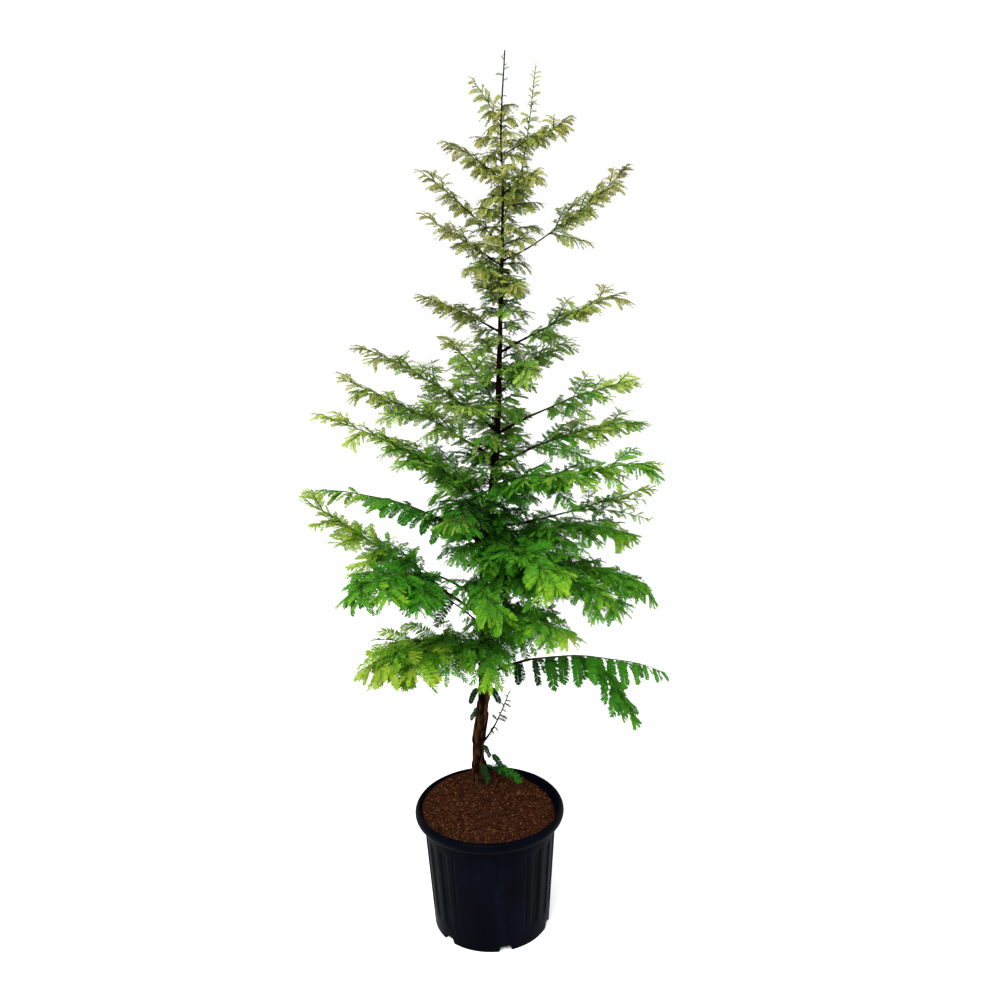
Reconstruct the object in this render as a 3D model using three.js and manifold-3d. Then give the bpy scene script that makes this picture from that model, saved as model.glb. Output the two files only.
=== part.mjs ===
// A young dawn redwood in a black nursery pot: pot, potting mix, trunk, boughs and masses of needle sprays.
// Millimetres, +Z up. The origin is the centre of the pot's flat underside, and the plant's front faces -Y.

import * as THREE from "three";
import { mergeVertices } from "three/addons/utils/BufferGeometryUtils.js";
import Module from "manifold-3d";

const wasm = await Module();
wasm.setup();

// Clearances
const GAP = 0.3; // between two pieces that meet
const MERGE = 1e-4; // vertices nearer than this are one
const TIDY = [0.01, 0.03, 0.1, 0.2]; // how far a join's slivers may be smoothed, tried in turn
const GRID = 2e-3; // corners this far apart stay apart

// Pot
const POT_HEIGHT = 265;
const RIM_RADIUS = 150; // the collar's widest circle
const RIM_DEEP = 24; // the collar's height
const WALL_RADIUS = 133; // outside of the wall, just under the collar
const FOOT_RADIUS = 118; // outside of the wall at the ground
const FOOT_WIDE = 6; // the ring that the wall stands on
const BOSS_RADIUS = 72; // the flat middle of the underside
const RECESS_DEEP = 10; // the underside's hollow between boss and foot
const FLOOR = 14; // height of the pot's inside floor over that hollow
const WALL_THICK = 2.2;
const COLLAR_THICK = 3;
const LIP_WIDE = 11; // across the collar's top
const ROLL = 10; // how far up from its foot the collar swells to its widest
const STEP_WIDE = 6; // run of the slopes in the underside and the inside floor
const POT_SIDES = 36;
const NOTCH = { count: 6, wide: 24, tall: 12, first: 13 }; // drain notches in the foot, first in degrees

// Potting mix
const MIX_LEVEL = 250; // mean height of its surface
const MIX_TILT = { right: -0.05, back: 0.04 }; // it lies higher on the left and at the back, by these slopes
const MIX_MOUND = 6; // how far it rises round the trunk
const MOUND_REACH = 80;
const COLLAR = { top: 26, foot: 34, deep: 30 }; // the firm mound that the trunk stands on

// Trunk: axis points from the ground cut to the tip, with a double bend and a lean to the right
const TRUNK_AXIS = [
  [-20, 85, 264],
  [-22, 83, 350],
  [-9, 80, 445],
  [-3, 77, 560],
  [0, 72, 728],
  [28, 65, 982],
  [40, 59, 1192],
  [50, 52, 1440],
  [49, 48, 1560],
  [58, 45, 1686],
].map((p) => new THREE.Vector3(...p));
const TRUNK_FOOT = 14; // radius above the root flare
const TRUNK_TIP = 1;
const TRUNK_TAPER = 1.35; // 1 is an even cone, more is slimmer aloft
const FLARE = 4; // what the root flare adds at the cut
const FLARE_TALL = 30;
const TRUNK_SIDES = 12;
const TRUNK_STEPS = 22;
const TRUNK_CROWD = 1.25; // how much closer the rings stand near the foot
const TRUNK_SAMPLES = 600; // points that the axis is looked up in

// Boughs, from the ground up. height: where it leaves the trunk. heading: degrees, 0 right, 90 away,
// 180 left, 270 to the front. reach: level length. rise: tip above its start. arch: bow of the middle.
// limb marks a main bough, whose first stretch is bare wood of its own. bare: that stretch's share, where it
// isn't the usual one.
const BOUGHS = [
  { height: 510, heading: 345, reach: 375, rise: 35, arch: 45, limb: true },
  { height: 535, heading: 80, reach: 260, rise: 50, arch: 30 },
  { height: 572, heading: 207, reach: 280, rise: 0, arch: 35 },
  { height: 592, heading: 275, reach: 150, rise: -45, arch: 30 },
  { height: 612, heading: 157, reach: 200, rise: 80, arch: 25 },
  { height: 636, heading: 184, reach: 345, rise: 268, arch: 5, limb: true },
  { height: 649, heading: 318, reach: 235, rise: -5, arch: 25 },
  { height: 668, heading: 222, reach: 340, rise: 95, arch: 62 },
  { height: 690, heading: 20, reach: 370, rise: -45, arch: 50 },
  { height: 702, heading: 273, reach: 200, rise: 5, arch: 35 },
  { height: 712, heading: 338, reach: 295, rise: -40, arch: 60 },
  { height: 748, heading: 108, reach: 290, rise: 90, arch: 25 },
  { height: 765, heading: 8, reach: 310, rise: 15, arch: 45, limb: true },
  { height: 778, heading: 302, reach: 265, rise: -15, arch: 45 },
  { height: 790, heading: 172, reach: 350, rise: 105, arch: 32, limb: true },
  { height: 826, heading: 26, reach: 370, rise: 30, arch: -10, limb: true, bare: 0.5 },
  { height: 842, heading: 250, reach: 190, rise: 35, arch: 30 },
  { height: 862, heading: 140, reach: 265, rise: 110, arch: 15 },
  { height: 875, heading: 196, reach: 320, rise: 200, arch: 20, limb: true },
  { height: 893, heading: 349, reach: 325, rise: 72, arch: 15 },
  { height: 908, heading: 318, reach: 255, rise: 45, arch: 25 },
  { height: 925, heading: 78, reach: 250, rise: 100, arch: 15 },
  { height: 944, heading: 9, reach: 310, rise: 70, arch: 28, limb: true },
  { height: 965, heading: 175, reach: 295, rise: 160, arch: 10, limb: true },
  { height: 1013, heading: 0, reach: 275, rise: 94, arch: 18, limb: true, bare: 0.4 },
  { height: 1020, heading: 188, reach: 258, rise: 176, arch: 15 },
  { height: 1035, heading: 245, reach: 165, rise: 60, arch: 15 },
  { height: 1062, heading: 118, reach: 215, rise: 110, arch: 10 },
  { height: 1090, heading: 40, reach: 195, rise: 85, arch: 10 },
  { height: 1120, heading: 300, reach: 140, rise: 25, arch: 20 },
  { height: 1168, heading: 355, reach: 232, rise: 112, arch: 5, limb: true },
  { height: 1206, heading: 184, reach: 155, rise: 76, arch: 5 },
  { height: 1232, heading: 92, reach: 150, rise: 90, arch: 5 },
  { height: 1262, heading: 285, reach: 115, rise: 35, arch: 15 },
  { height: 1300, heading: 240, reach: 115, rise: 25, arch: 15 },
  { height: 1326, heading: 194, reach: 148, rise: 99, arch: 0 },
  { height: 1334, heading: 10, reach: 237, rise: 165, arch: -18, limb: true, bare: 0.4 },
  { height: 1358, heading: 172, reach: 148, rise: 137, arch: 8 },
  { height: 1400, heading: 70, reach: 105, rise: 80, arch: 5 },
  { height: 1434, heading: 352, reach: 62, rise: 238, arch: -76 },
  { height: 1448, heading: 310, reach: 110, rise: 30, arch: 12 },
  { height: 1472, heading: 181, reach: 110, rise: 73, arch: 8 },
  { height: 1516, heading: 20, reach: 140, rise: 62, arch: 0 },
  { height: 1570, heading: 180, reach: 50, rise: 76, arch: 0 },
];
const BARE = 0.3; // usual share of a main bough that is bare limb
const FIRST_SPRAY = 0.2; // share of any other bough before its first spray
const LIMB_SIDES = 6;
const LIMB_STEPS = 5;
const STEM_SIDES = 3;
const STEM_STEPS = 5;
const STEM_TIP = 1.2; // radius of a bough's stem at its tip
const STEM_TAPER = 0.8; // 1 is an even cone, less is slim sooner
const STEM_ROOT = { least: 1.6, perReach: 0.0075, ofTrunk: 0.75 }; // radius where a bough leaves the trunk
const LINE_STEPS = 12; // straight stretches that stand for a bough's axis in distances

// Twigs and needle sprays
const CROWN_FOOT = 500; // heights between which sprays shorten and lift
const CROWN_TOP = 1620;
const FORK = 52; // degrees between a bough and its side twigs
const TWIG_PITCH = 120; // along the stem, on alternate sides
const TWIG_SHARE = 0.3; // a side twig's length at the foot of a bough, as a share of its reach
const TWIG_ROOT = 2.2; // radius
const TWIG_TIP = 1.1;
const SPRAY_PITCH = 0.68; // between pairs along the stem, as a share of a spray's length
const SPRAY_LEAN = 60; // degrees between a spray and what carries it
const SPRAY_LOW = { long: 100, wide: 50, droop: 0.75 }; // at the crown's foot
const SPRAY_HIGH = { long: 46, wide: 24, droop: 0.15 }; // at its top
const SPRAY_THICK = 1.8;
const SPRAY_PEAK = 0.34; // share of the length where a spray is thickest
const SPRAY_SUNK = 0.8; // a spray's root lies this far past the middle of what carries it
const LAST_SPRAY = 0.75; // size of the spray that ends a bough, beside the others
const LAST_BEYOND = 0.9; // share of that spray that lies past the end of the stem
const LAST_SUNK = 4; // how far that spray's root lies inside the end of the stem
const STAGGER = 0.4; // of the pitch between the two sprays of a pair
const FIRST_PAIR = 0.25; // of the pitch before the first pair
const SCATTER = 0.2; // of the pitch by which chance shifts a pair
const TIP_GROW = 0.7; // size of the sprays near a bough's tip, beside the first ones
const TWIG_GROW = 0.85; // size of the sprays on side twigs
const TWIG_LAST = 0.12; // a side twig's length near the tip of a bough, as a share of its reach
const TWIG_FIRST = 0.3; // of the pitch before the first side twig
const TWIG_SCATTER = 0.4; // of the pitch by which chance shifts a side twig
const TWIG_MIDDLE = 0.6; // where a side twig carries its pair of sprays
const SPRAY_OUTLINE = [
  [0, 0],
  [0.27, 0.5],
  [0.42, 0.27],
  [0.7, 0.4],
  [1, 0],
  [0.7, -0.4],
  [0.42, -0.27],
  [0.27, -0.5],
]; // toothed blade: shares of its length and width
const TRIES = [
  { shrink: 1, lift: 1 },
  { shrink: 1, lift: 0.3 },
  { shrink: 0.75, lift: 1 },
  { shrink: 0.75, lift: 0 },
  { shrink: 0.55, lift: 0.5 },
]; // a spray with no room is tried smaller and flatter, then left off
const APART = 5; // a spray is nearer to its own stem than to any other by at least this

// Shoots low on the trunk, sized like boughs
const SPROUTS = [
  { name: "sprout_leafy", height: 302, heading: 339, reach: 90, rise: -14, arch: 10, spray: 0.5 },
  { name: "sprout_bare", height: 345, heading: 358, reach: 70, rise: 135, arch: -18, spray: 0.17 },
];

// Finishes
const FINISH = {
  pot: { color: 0x14171b, roughness: 0.5, metalness: 0 },
  mix: { color: 0x4a2a1d, roughness: 1, metalness: 0 },
  bark: { color: 0x53362a, roughness: 0.9, metalness: 0 },
  limb: { color: 0x2f221b, roughness: 0.85, metalness: 0 },
  lowNeedles: { color: 0x2f7a1d, roughness: 0.6, metalness: 0 },
  highNeedles: { color: 0x87982c, roughness: 0.6, metalness: 0 },
};

const UP = new THREE.Vector3(0, 0, 1);
const radians = THREE.MathUtils.degToRad;
const blend = THREE.MathUtils.lerp;

// Solids

// A closed geometry as a solid for joining and cutting, turned right side out.
function solidOf(geometry) {
  const bare = geometry.clone();
  bare.deleteAttribute("normal");
  bare.deleteAttribute("uv");
  const merged = mergeVertices(bare, MERGE);
  const corners = merged.index.array;
  const triangles = [];
  for (let i = 0; i < corners.length; i += 3) {
    const [a, b, c] = corners.slice(i, i + 3);
    if (a !== b && b !== c && c !== a) triangles.push(a, b, c);
  }
  const build = (order) =>
    new wasm.Manifold(
      new wasm.Mesh({
        numProp: 3,
        vertProperties: merged.attributes.position.array,
        triVerts: new Uint32Array(order),
      }),
    );
  const solid = build(triangles);
  return solid.volume() > 0 ? solid : build(triangles.reverse());
}

// The largest body of a solid, as a mesh that still closes with its corners on the grid. Loose scraps are
// dropped, and slivers that a join leaves are smoothed away. Undefined if that isn't enough.
function soundMesh(solid) {
  return TIDY.map((step) => largestBody(solid.simplify(step))).find(closesOnGrid);
}

function largestBody(solid) {
  const [body] = solid.decompose().sort((a, b) => b.volume() - a.volume());
  return body.getMesh();
}

// True if, with corners rounded to the grid, every edge still has one face on each side.
function closesOnGrid(mesh) {
  const corner = (i) => mesh.vertProperties.slice(3 * i, 3 * i + 3).map((v) => Math.round(v / GRID));
  const keys = Array.from({ length: mesh.numVert }, (_, i) => corner(i).join());
  const edges = new Set();
  for (let i = 0; i < mesh.triVerts.length; i++) {
    const next = i % 3 === 2 ? i - 2 : i + 1;
    edges.add(`${keys[mesh.triVerts[i]]} ${keys[mesh.triVerts[next]]}`);
  }
  return new Set(keys).size === mesh.numVert && edges.size === mesh.triVerts.length;
}

function piece(name, solid, finish) {
  const sound = soundMesh(solid);
  const geometry = new THREE.BufferGeometry();
  geometry.setAttribute("position", new THREE.BufferAttribute(sound.vertProperties, 3));
  geometry.setIndex(new THREE.BufferAttribute(sound.triVerts, 1));
  geometry.computeVertexNormals();
  const mesh = new THREE.Mesh(geometry, new THREE.MeshStandardMaterial(finish));
  mesh.name = name;
  return mesh;
}

// A tapering limb: a cylinder whose rings are laid along a path. at(t) gives the axis, radius(t) the size,
// and side the direction, level and square to the path, that all its rings share.
function limbGeometry({ at, radius, side, from, to, sides, steps }) {
  const geometry = new THREE.CylinderGeometry(1, 1, 1, sides, steps);
  const places = geometry.attributes.position;
  const local = new THREE.Vector3();
  for (let i = 0; i < places.count; i++) {
    local.fromBufferAttribute(places, i);
    const t = blend(from, to, local.y + 0.5);
    const along = tangent(at, t);
    const lift = new THREE.Vector3().crossVectors(side, along).normalize();
    const across = new THREE.Vector3().crossVectors(along, lift);
    const place = at(t)
      .addScaledVector(across, radius(t) * local.x)
      .addScaledVector(lift, radius(t) * local.z);
    places.setXYZ(i, place.x, place.y, place.z);
  }
  return geometry;
}

function tangent(at, t) {
  const step = 1e-3;
  return at(t + step)
    .sub(at(t - step))
    .normalize();
}

// Pot

const rimFoot = POT_HEIGHT - RIM_DEEP;
const innerLip = RIM_RADIUS - LIP_WIDE; // inside of the collar at its lip
const wallFoot = FOOT_RADIUS - WALL_THICK - 0.5;
const floorMiddle = FLOOR - RECESS_DEEP; // inside floor over the boss
const floorStep = [
  [0, floorMiddle],
  [BOSS_RADIUS - STEP_WIDE, floorMiddle],
  [BOSS_RADIUS, FLOOR],
]; // radius and height of the inside floor, which follows the underside

// Inside radius of the pot at a height: the wall leans out to the collar's foot, then the collar to its lip.
function insideRadius(height) {
  const under = THREE.MathUtils.mapLinear(height, FLOOR, rimFoot, wallFoot, WALL_RADIUS - WALL_THICK);
  const above = THREE.MathUtils.mapLinear(height, rimFoot, POT_HEIGHT, WALL_RADIUS - WALL_THICK, innerLip);
  return height < rimFoot ? under : above;
}

function potSolid() {
  const collarTop = POT_HEIGHT - 2 * COLLAR_THICK;
  const underCollar = insideRadius(collarTop) + WALL_THICK;
  const profile = [
    [0, 0],
    [BOSS_RADIUS, 0],
    [BOSS_RADIUS + STEP_WIDE, RECESS_DEEP],
    [FOOT_RADIUS - FOOT_WIDE - 4, RECESS_DEEP],
    [FOOT_RADIUS - FOOT_WIDE, 0],
    [FOOT_RADIUS, 0],
    [WALL_RADIUS, rimFoot - 4],
    [underCollar, collarTop],
    [RIM_RADIUS - COLLAR_THICK, collarTop],
    [RIM_RADIUS - COLLAR_THICK, rimFoot + ROLL],
    [RIM_RADIUS - 7, rimFoot + 4],
    [RIM_RADIUS - 6, rimFoot],
    [RIM_RADIUS - 2, rimFoot + 4],
    [RIM_RADIUS, rimFoot + ROLL],
    [RIM_RADIUS - 0.5, POT_HEIGHT - 8],
    [RIM_RADIUS - 3, POT_HEIGHT - 2],
    [RIM_RADIUS - 6, POT_HEIGHT],
    [innerLip + 2, POT_HEIGHT],
    [innerLip, POT_HEIGHT - 3],
    [insideRadius(rimFoot), rimFoot],
    [wallFoot, FLOOR],
    ...floorStep.toReversed(),
  ].map((p) => new THREE.Vector2(...p));
  let pot = solidOf(new THREE.LatheGeometry(profile, POT_SIDES).rotateX(Math.PI / 2));
  for (let i = 0; i < NOTCH.count; i++) {
    const turn = radians(NOTCH.first + (360 * i) / NOTCH.count);
    const cutter = new THREE.BoxGeometry(NOTCH.wide, 6 * FOOT_WIDE, 2 * NOTCH.tall);
    cutter.translate(0, -FOOT_RADIUS, 0).rotateZ(turn);
    pot = pot.subtract(solidOf(cutter));
  }
  return pot;
}

// Potting mix: a plug that fills the pot, with a tilted top that rises towards the trunk.
function mixSurface(x, y) {
  const [foot] = TRUNK_AXIS;
  const away = Math.hypot(x - foot.x, y - foot.y) / MOUND_REACH;
  const plane = MIX_LEVEL + MIX_TILT.right * x + MIX_TILT.back * y;
  return plane + MIX_MOUND * Math.exp(-away * away);
}

function mixSolid() {
  const rings = [1, 0.72, 0.44, 0.2, 0];
  const surface = rings.map((share) => [share * innerLip, POT_HEIGHT]);
  const sides = [
    [wallFoot - GAP, FLOOR + GAP],
    [insideRadius(rimFoot) - GAP, rimFoot],
  ];
  const profile = [...floorStep.map(([r, z]) => [r, z + GAP]), ...sides, ...surface];
  const points = profile.map((p) => new THREE.Vector2(...p));
  const geometry = new THREE.LatheGeometry(points, POT_SIDES).rotateX(Math.PI / 2);
  const places = geometry.attributes.position;
  for (let i = 0; i < places.count; i++) {
    if (places.getZ(i) < POT_HEIGHT) continue;
    const [x, y] = [places.getX(i), places.getY(i)];
    const height = mixSurface(x, y);
    const shrink = (insideRadius(height) - GAP) / innerLip;
    places.setXYZ(i, x * shrink, y * shrink, height);
  }
  const [foot] = TRUNK_AXIS;
  const collar = new THREE.CylinderGeometry(COLLAR.top, COLLAR.foot, COLLAR.deep, TRUNK_SIDES);
  collar.rotateX(Math.PI / 2).translate(foot.x, foot.y, foot.z - GAP - COLLAR.deep / 2);
  return solidOf(geometry).add(solidOf(collar));
}

// Trunk

const trunkCurve = new THREE.CatmullRomCurve3(TRUNK_AXIS, false, "catmullrom", 0.5);
const trunkFoot = TRUNK_AXIS[0].z;
const treeTop = TRUNK_AXIS.at(-1).z;
const trunkSamples = trunkCurve.getPoints(TRUNK_SAMPLES);

// The trunk's axis at a height above the ground.
function trunkAt(height) {
  const next = trunkSamples.findIndex((p) => p.z >= height);
  const upper = trunkSamples[Math.max(next, 1)];
  const lower = trunkSamples[Math.max(next, 1) - 1];
  return lower.clone().lerp(upper, (height - lower.z) / (upper.z - lower.z));
}

function trunkRadius(height) {
  const share = THREE.MathUtils.clamp((height - trunkFoot) / (treeTop - trunkFoot), 0, 1);
  const taper = blend(TRUNK_TIP, TRUNK_FOOT, (1 - share) ** TRUNK_TAPER);
  return taper + FLARE * Math.exp((trunkFoot - height) / FLARE_TALL);
}

// The trunk, or the same shape grown by a clearance for cutting what meets it. Its rings lie level, so its
// foot is a flat cut, and they stand closer together near the root flare.
function trunkSolid(grown = 0) {
  const heightAt = (t) => blend(trunkFoot, treeTop, t ** TRUNK_CROWD);
  const geometry = new THREE.CylinderGeometry(1, 1, 1, TRUNK_SIDES, TRUNK_STEPS).rotateX(Math.PI / 2);
  const places = geometry.attributes.position;
  for (let i = 0; i < places.count; i++) {
    const height = heightAt(places.getZ(i) + 0.5);
    const axis = trunkAt(height);
    const radius = trunkRadius(height) + grown;
    places.setXYZ(i, axis.x + radius * places.getX(i), axis.y + radius * places.getY(i), height);
  }
  return solidOf(geometry);
}

// Boughs

// A bough's shape as functions of t, from 0 on the trunk's axis to 1 at its tip.
function boughForm(size) {
  const foot = trunkAt(size.height);
  const heading = radians(size.heading);
  const out = new THREE.Vector3(Math.cos(heading), Math.sin(heading), 0);
  const at = (t) =>
    foot
      .clone()
      .addScaledVector(out, size.reach * t)
      .addScaledVector(UP, size.rise * t + size.arch * 4 * t * (1 - t));
  const rootRadius = Math.min(
    STEM_ROOT.least + size.reach * STEM_ROOT.perReach,
    STEM_ROOT.ofTrunk * trunkRadius(size.height),
  );
  const radius = (t) => blend(rootRadius, STEM_TIP, t ** STEM_TAPER);
  const side = new THREE.Vector3(Math.sin(heading), -Math.cos(heading), 0);
  const length = at(0).distanceTo(at(0.5)) + at(0.5).distanceTo(at(1));
  const line = Array.from({ length: LINE_STEPS + 1 }, (_, i) => at(i / LINE_STEPS));
  const lastLong = LAST_SPRAY * (size.spray ?? 1) * spraySize(size.height + size.rise).long;
  const end = 1 - (LAST_BEYOND * lastLong) / length;
  return { ...size, at, radius, side, length, line, end };
}

const growth = [...BOUGHS, ...SPROUTS].map(boughForm);

// An even number from 0 to 1 that depends only on which bough, which item and which use it is for.
function chance(bough, item, use) {
  const mixed = Math.sin(bough * 12.9898 + item * 78.233 + use * 37.719) * 43758.5453;
  return mixed - Math.floor(mixed);
}

function distanceToLine(point, line) {
  const nearest = new THREE.Vector3();
  const stretch = new THREE.Line3();
  let least = Infinity;
  for (let i = 1; i < line.length; i++) {
    stretch.set(line[i - 1], line[i]).closestPointToPoint(point, true, nearest);
    least = Math.min(least, nearest.distanceTo(point));
  }
  return least;
}

// True if every point is clear of the trunk and nearer to its own bough than to any other.
function inOwnSpace(points, own) {
  return points.every((point) => {
    const axis = trunkAt(THREE.MathUtils.clamp(point.z, trunkFoot + 1, treeTop - 1));
    const clearOfTrunk = Math.hypot(point.x - axis.x, point.y - axis.y) > trunkRadius(point.z) + APART;
    const clearOfMix = point.z > POT_HEIGHT + 2;
    const home = distanceToLine(point, own.line) + APART;
    const near = (other) => other.line[0].distanceTo(point) < other.length + home;
    const others = growth.filter((other) => other !== own && near(other));
    return clearOfTrunk && clearOfMix && others.every((other) => distanceToLine(point, other.line) > home);
  });
}

// Twigs and needle sprays

// A size of spray for a height in the crown.
function spraySize(height) {
  const share = THREE.MathUtils.clamp((height - CROWN_FOOT) / (CROWN_TOP - CROWN_FOOT), 0, 1);
  const mix = (key) => blend(SPRAY_LOW[key], SPRAY_HIGH[key], share);
  return { long: mix("long"), wide: mix("wide"), droop: mix("droop") };
}

// Points of a spray's toothed outline in place: root is where it is carried, along its direction, and across
// the direction of its width.
function sprayPoints({ root, along, across, long, wide }) {
  return SPRAY_OUTLINE.map(([far, off]) =>
    root
      .clone()
      .addScaledVector(along, far * (long + SPRAY_SUNK) - SPRAY_SUNK)
      .addScaledVector(across, off * wide),
  );
}

// A spray: a low cone on the toothed outline.
function spraySolid(spray) {
  const outline = sprayPoints(spray);
  const face = new THREE.Vector3().crossVectors(spray.along, spray.across).multiplyScalar(SPRAY_THICK);
  const middle = spray.root.clone().addScaledVector(spray.along, SPRAY_PEAK * spray.long);
  const geometry = new THREE.ConeGeometry(1, 1, outline.length);
  const places = geometry.attributes.position;
  for (let i = 0; i < places.count; i++) {
    const [x, y, z] = [places.getX(i), places.getY(i), places.getZ(i)];
    const turn = Math.round((Math.atan2(x, z) / (2 * Math.PI)) * outline.length);
    const onRing = Math.hypot(x, z) > 0.5;
    const corner = outline[(turn + outline.length) % outline.length];
    const place = onRing ? corner : middle.clone().addScaledVector(face, Math.max(0, Math.sign(y)));
    places.setXYZ(i, place.x, place.y, place.z);
  }
  return solidOf(geometry);
}

// A spray that leaves a twig at root. lean 0 carries straight on. It droops, and lies in the plane of the
// twig and itself, so that hanging sprays show their faces from beside the bough.
function sprayFrom(root, forward, sideways, lean, size) {
  const along = forward
    .clone()
    .multiplyScalar(Math.cos(radians(lean)))
    .addScaledVector(sideways, Math.sin(radians(lean)))
    .addScaledVector(UP, -size.droop * (lean ? 1 : 0.4))
    .normalize();
  const face = new THREE.Vector3().crossVectors(along, lean ? forward : sideways).normalize();
  return { root, along, across: face.cross(along).normalize(), long: size.long, wide: size.wide };
}

function twigSolid(from, to) {
  const along = to.clone().sub(from);
  const geometry = new THREE.CylinderGeometry(TWIG_TIP, TWIG_ROOT, along.length(), STEM_SIDES);
  geometry.applyQuaternion(
    new THREE.Quaternion().setFromUnitVectors(new THREE.Vector3(0, 1, 0), along.clone().normalize()),
  );
  const middle = from.clone().lerp(to, 0.5);
  return solidOf(geometry.translate(middle.x, middle.y, middle.z));
}

// The two sideways directions of a pair of sprays. On a level stem they lie level, and on a steep one each
// pair stands square to the last.
function pairSides(bough, forward, pair) {
  const steep = Math.abs(forward.z) > 0.8 ? Math.PI / 2 : 0;
  const sideways = bough.side.clone().applyAxisAngle(forward, steep * pair);
  return [sideways, sideways.clone().negate()];
}

// Every spray and side twig of one bough, by rule: pairs of sprays along the stem, side twigs on alternate
// sides between them with a spray on each side and one at the tip, and a last spray that carries on the stem.
function growFoliage(bough, number, start) {
  const blades = [];
  const twigs = [];
  const scale = bough.spray ?? 1;
  const place = (root, forward, sideways, lean, grow) => {
    const full = spraySize(root.z);
    for (const { shrink, lift } of TRIES) {
      const share = grow * scale * shrink;
      const size = { long: full.long * share, wide: full.wide * share, droop: full.droop * lift };
      const spray = sprayFrom(root, forward, sideways, lean, size);
      if (!inOwnSpace(sprayPoints(spray).slice(1), bough)) continue;
      const solid = spraySolid(spray);
      if (blades.some((blade) => !blade.intersect(solid).isEmpty())) continue;
      blades.push(solid);
      return;
    }
  };
  const span = bough.end - start;
  const pitch = SPRAY_PITCH * spraySize(bough.height).long * Math.sqrt(scale);
  const pairs = Math.max(2, Math.round((bough.length * span) / pitch));
  for (let pair = 0; pair < pairs; pair++) {
    for (const half of [0, 1]) {
      const shift = FIRST_PAIR + STAGGER * half + SCATTER * chance(number, pair, 1);
      const t = start + (span * (pair + shift)) / pairs;
      const forward = tangent(bough.at, t);
      const grow = blend(1, TIP_GROW, (t - start) / span);
      place(bough.at(t), forward, pairSides(bough, forward, pair)[half], SPRAY_LEAN, grow);
    }
  }
  const last = bough.end - LAST_SUNK / bough.length;
  place(bough.at(last), tangent(bough.at, last), bough.side, 0, LAST_SPRAY);
  const twigCount = scale < 1 ? 0 : Math.floor((bough.length * span) / TWIG_PITCH);
  for (let twig = 0; twig < twigCount; twig++) {
    const shift = TWIG_FIRST + TWIG_SCATTER * chance(number, twig, 2);
    const t = start + (span * (twig + shift)) / (twigCount + TWIG_FIRST);
    const forward = tangent(bough.at, t);
    const sideways = bough.side.clone().multiplyScalar((twig + number) % 2 ? 1 : -1);
    const fork = radians(FORK);
    const along = forward.clone().multiplyScalar(Math.cos(fork)).addScaledVector(sideways, Math.sin(fork));
    const long = bough.reach * blend(TWIG_SHARE, TWIG_LAST, (t - start) / span);
    const from = bough.at(t);
    const tip = from.clone().addScaledVector(along, long);
    const middle = from.clone().lerp(tip, TWIG_MIDDLE);
    if (!inOwnSpace([middle, tip], bough)) continue;
    twigs.push(twigSolid(from, tip));
    const square = new THREE.Vector3().crossVectors(along, UP).normalize();
    place(middle, along, square, SPRAY_LEAN, TWIG_GROW);
    place(middle, along, square.clone().negate(), SPRAY_LEAN, TWIG_GROW);
    place(tip.addScaledVector(along, -LAST_SUNK), along, square, 0, TWIG_GROW);
  }
  return [...twigs, ...blades];
}

// Assembly

const root = new THREE.Group();
root.add(piece("pot", potSolid(), FINISH.pot));
root.add(piece("potting_mix", mixSolid(), FINISH.mix));
root.add(piece("trunk", trunkSolid(), FINISH.bark));

const trunkClear = trunkSolid(GAP / Math.cos(Math.PI / TRUNK_SIDES));

// A stem with its twigs and sprays fused on, cut clear of the trunk where it starts there. A spray whose join
// doesn't close up soundly is left off.
function massSolid(stem, sprays, onLimb) {
  const foot = onLimb ? stem : stem.subtract(trunkClear);
  return sprays.reduce((mass, spray) => {
    const more = mass.add(spray);
    return soundMesh(more) ? more : mass;
  }, foot);
}

function needleFinish(height) {
  const share = THREE.MathUtils.clamp((height - CROWN_FOOT) / (CROWN_TOP - CROWN_FOOT), 0, 1);
  const low = new THREE.Color(FINISH.lowNeedles.color);
  const high = new THREE.Color(FINISH.highNeedles.color);
  return { ...FINISH.lowNeedles, color: low.lerp(high, share) };
}

growth.forEach((bough, index) => {
  const number = index + 1;
  const label = String(number).padStart(2, "0");
  const bare = bough.limb ? (bough.bare ?? BARE) : 0;
  if (bough.limb) {
    const limb = limbGeometry({ ...bough, from: 0, to: bare, sides: LIMB_SIDES, steps: LIMB_STEPS });
    root.add(piece(`bough_${label}`, solidOf(limb).subtract(trunkClear), FINISH.limb));
  }
  const from = bough.limb ? bare + GAP / bough.length : 0;
  const stem = solidOf(limbGeometry({ ...bough, from, to: bough.end, sides: STEM_SIDES, steps: STEM_STEPS }));
  const sprays = growFoliage(bough, number, bare || FIRST_SPRAY);
  const name = bough.name ?? `foliage_${label}`;
  root.add(piece(name, massSolid(stem, sprays, bough.limb), needleFinish(bough.height)));
});

export default root;
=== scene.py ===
"""A young dawn redwood in a nursery pot, dressed for rendering.

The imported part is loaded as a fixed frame. Its plain solids are then stood in for by a moulded pot,
crumbly potting mix, a trunk and boughs with bark relief, and twigs with sprays of needles that grow by one
seeded rule. Sizes are in metres, +Z is up, and the plant's front faces -Y.
"""

import math
from typing import NamedTuple

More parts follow.
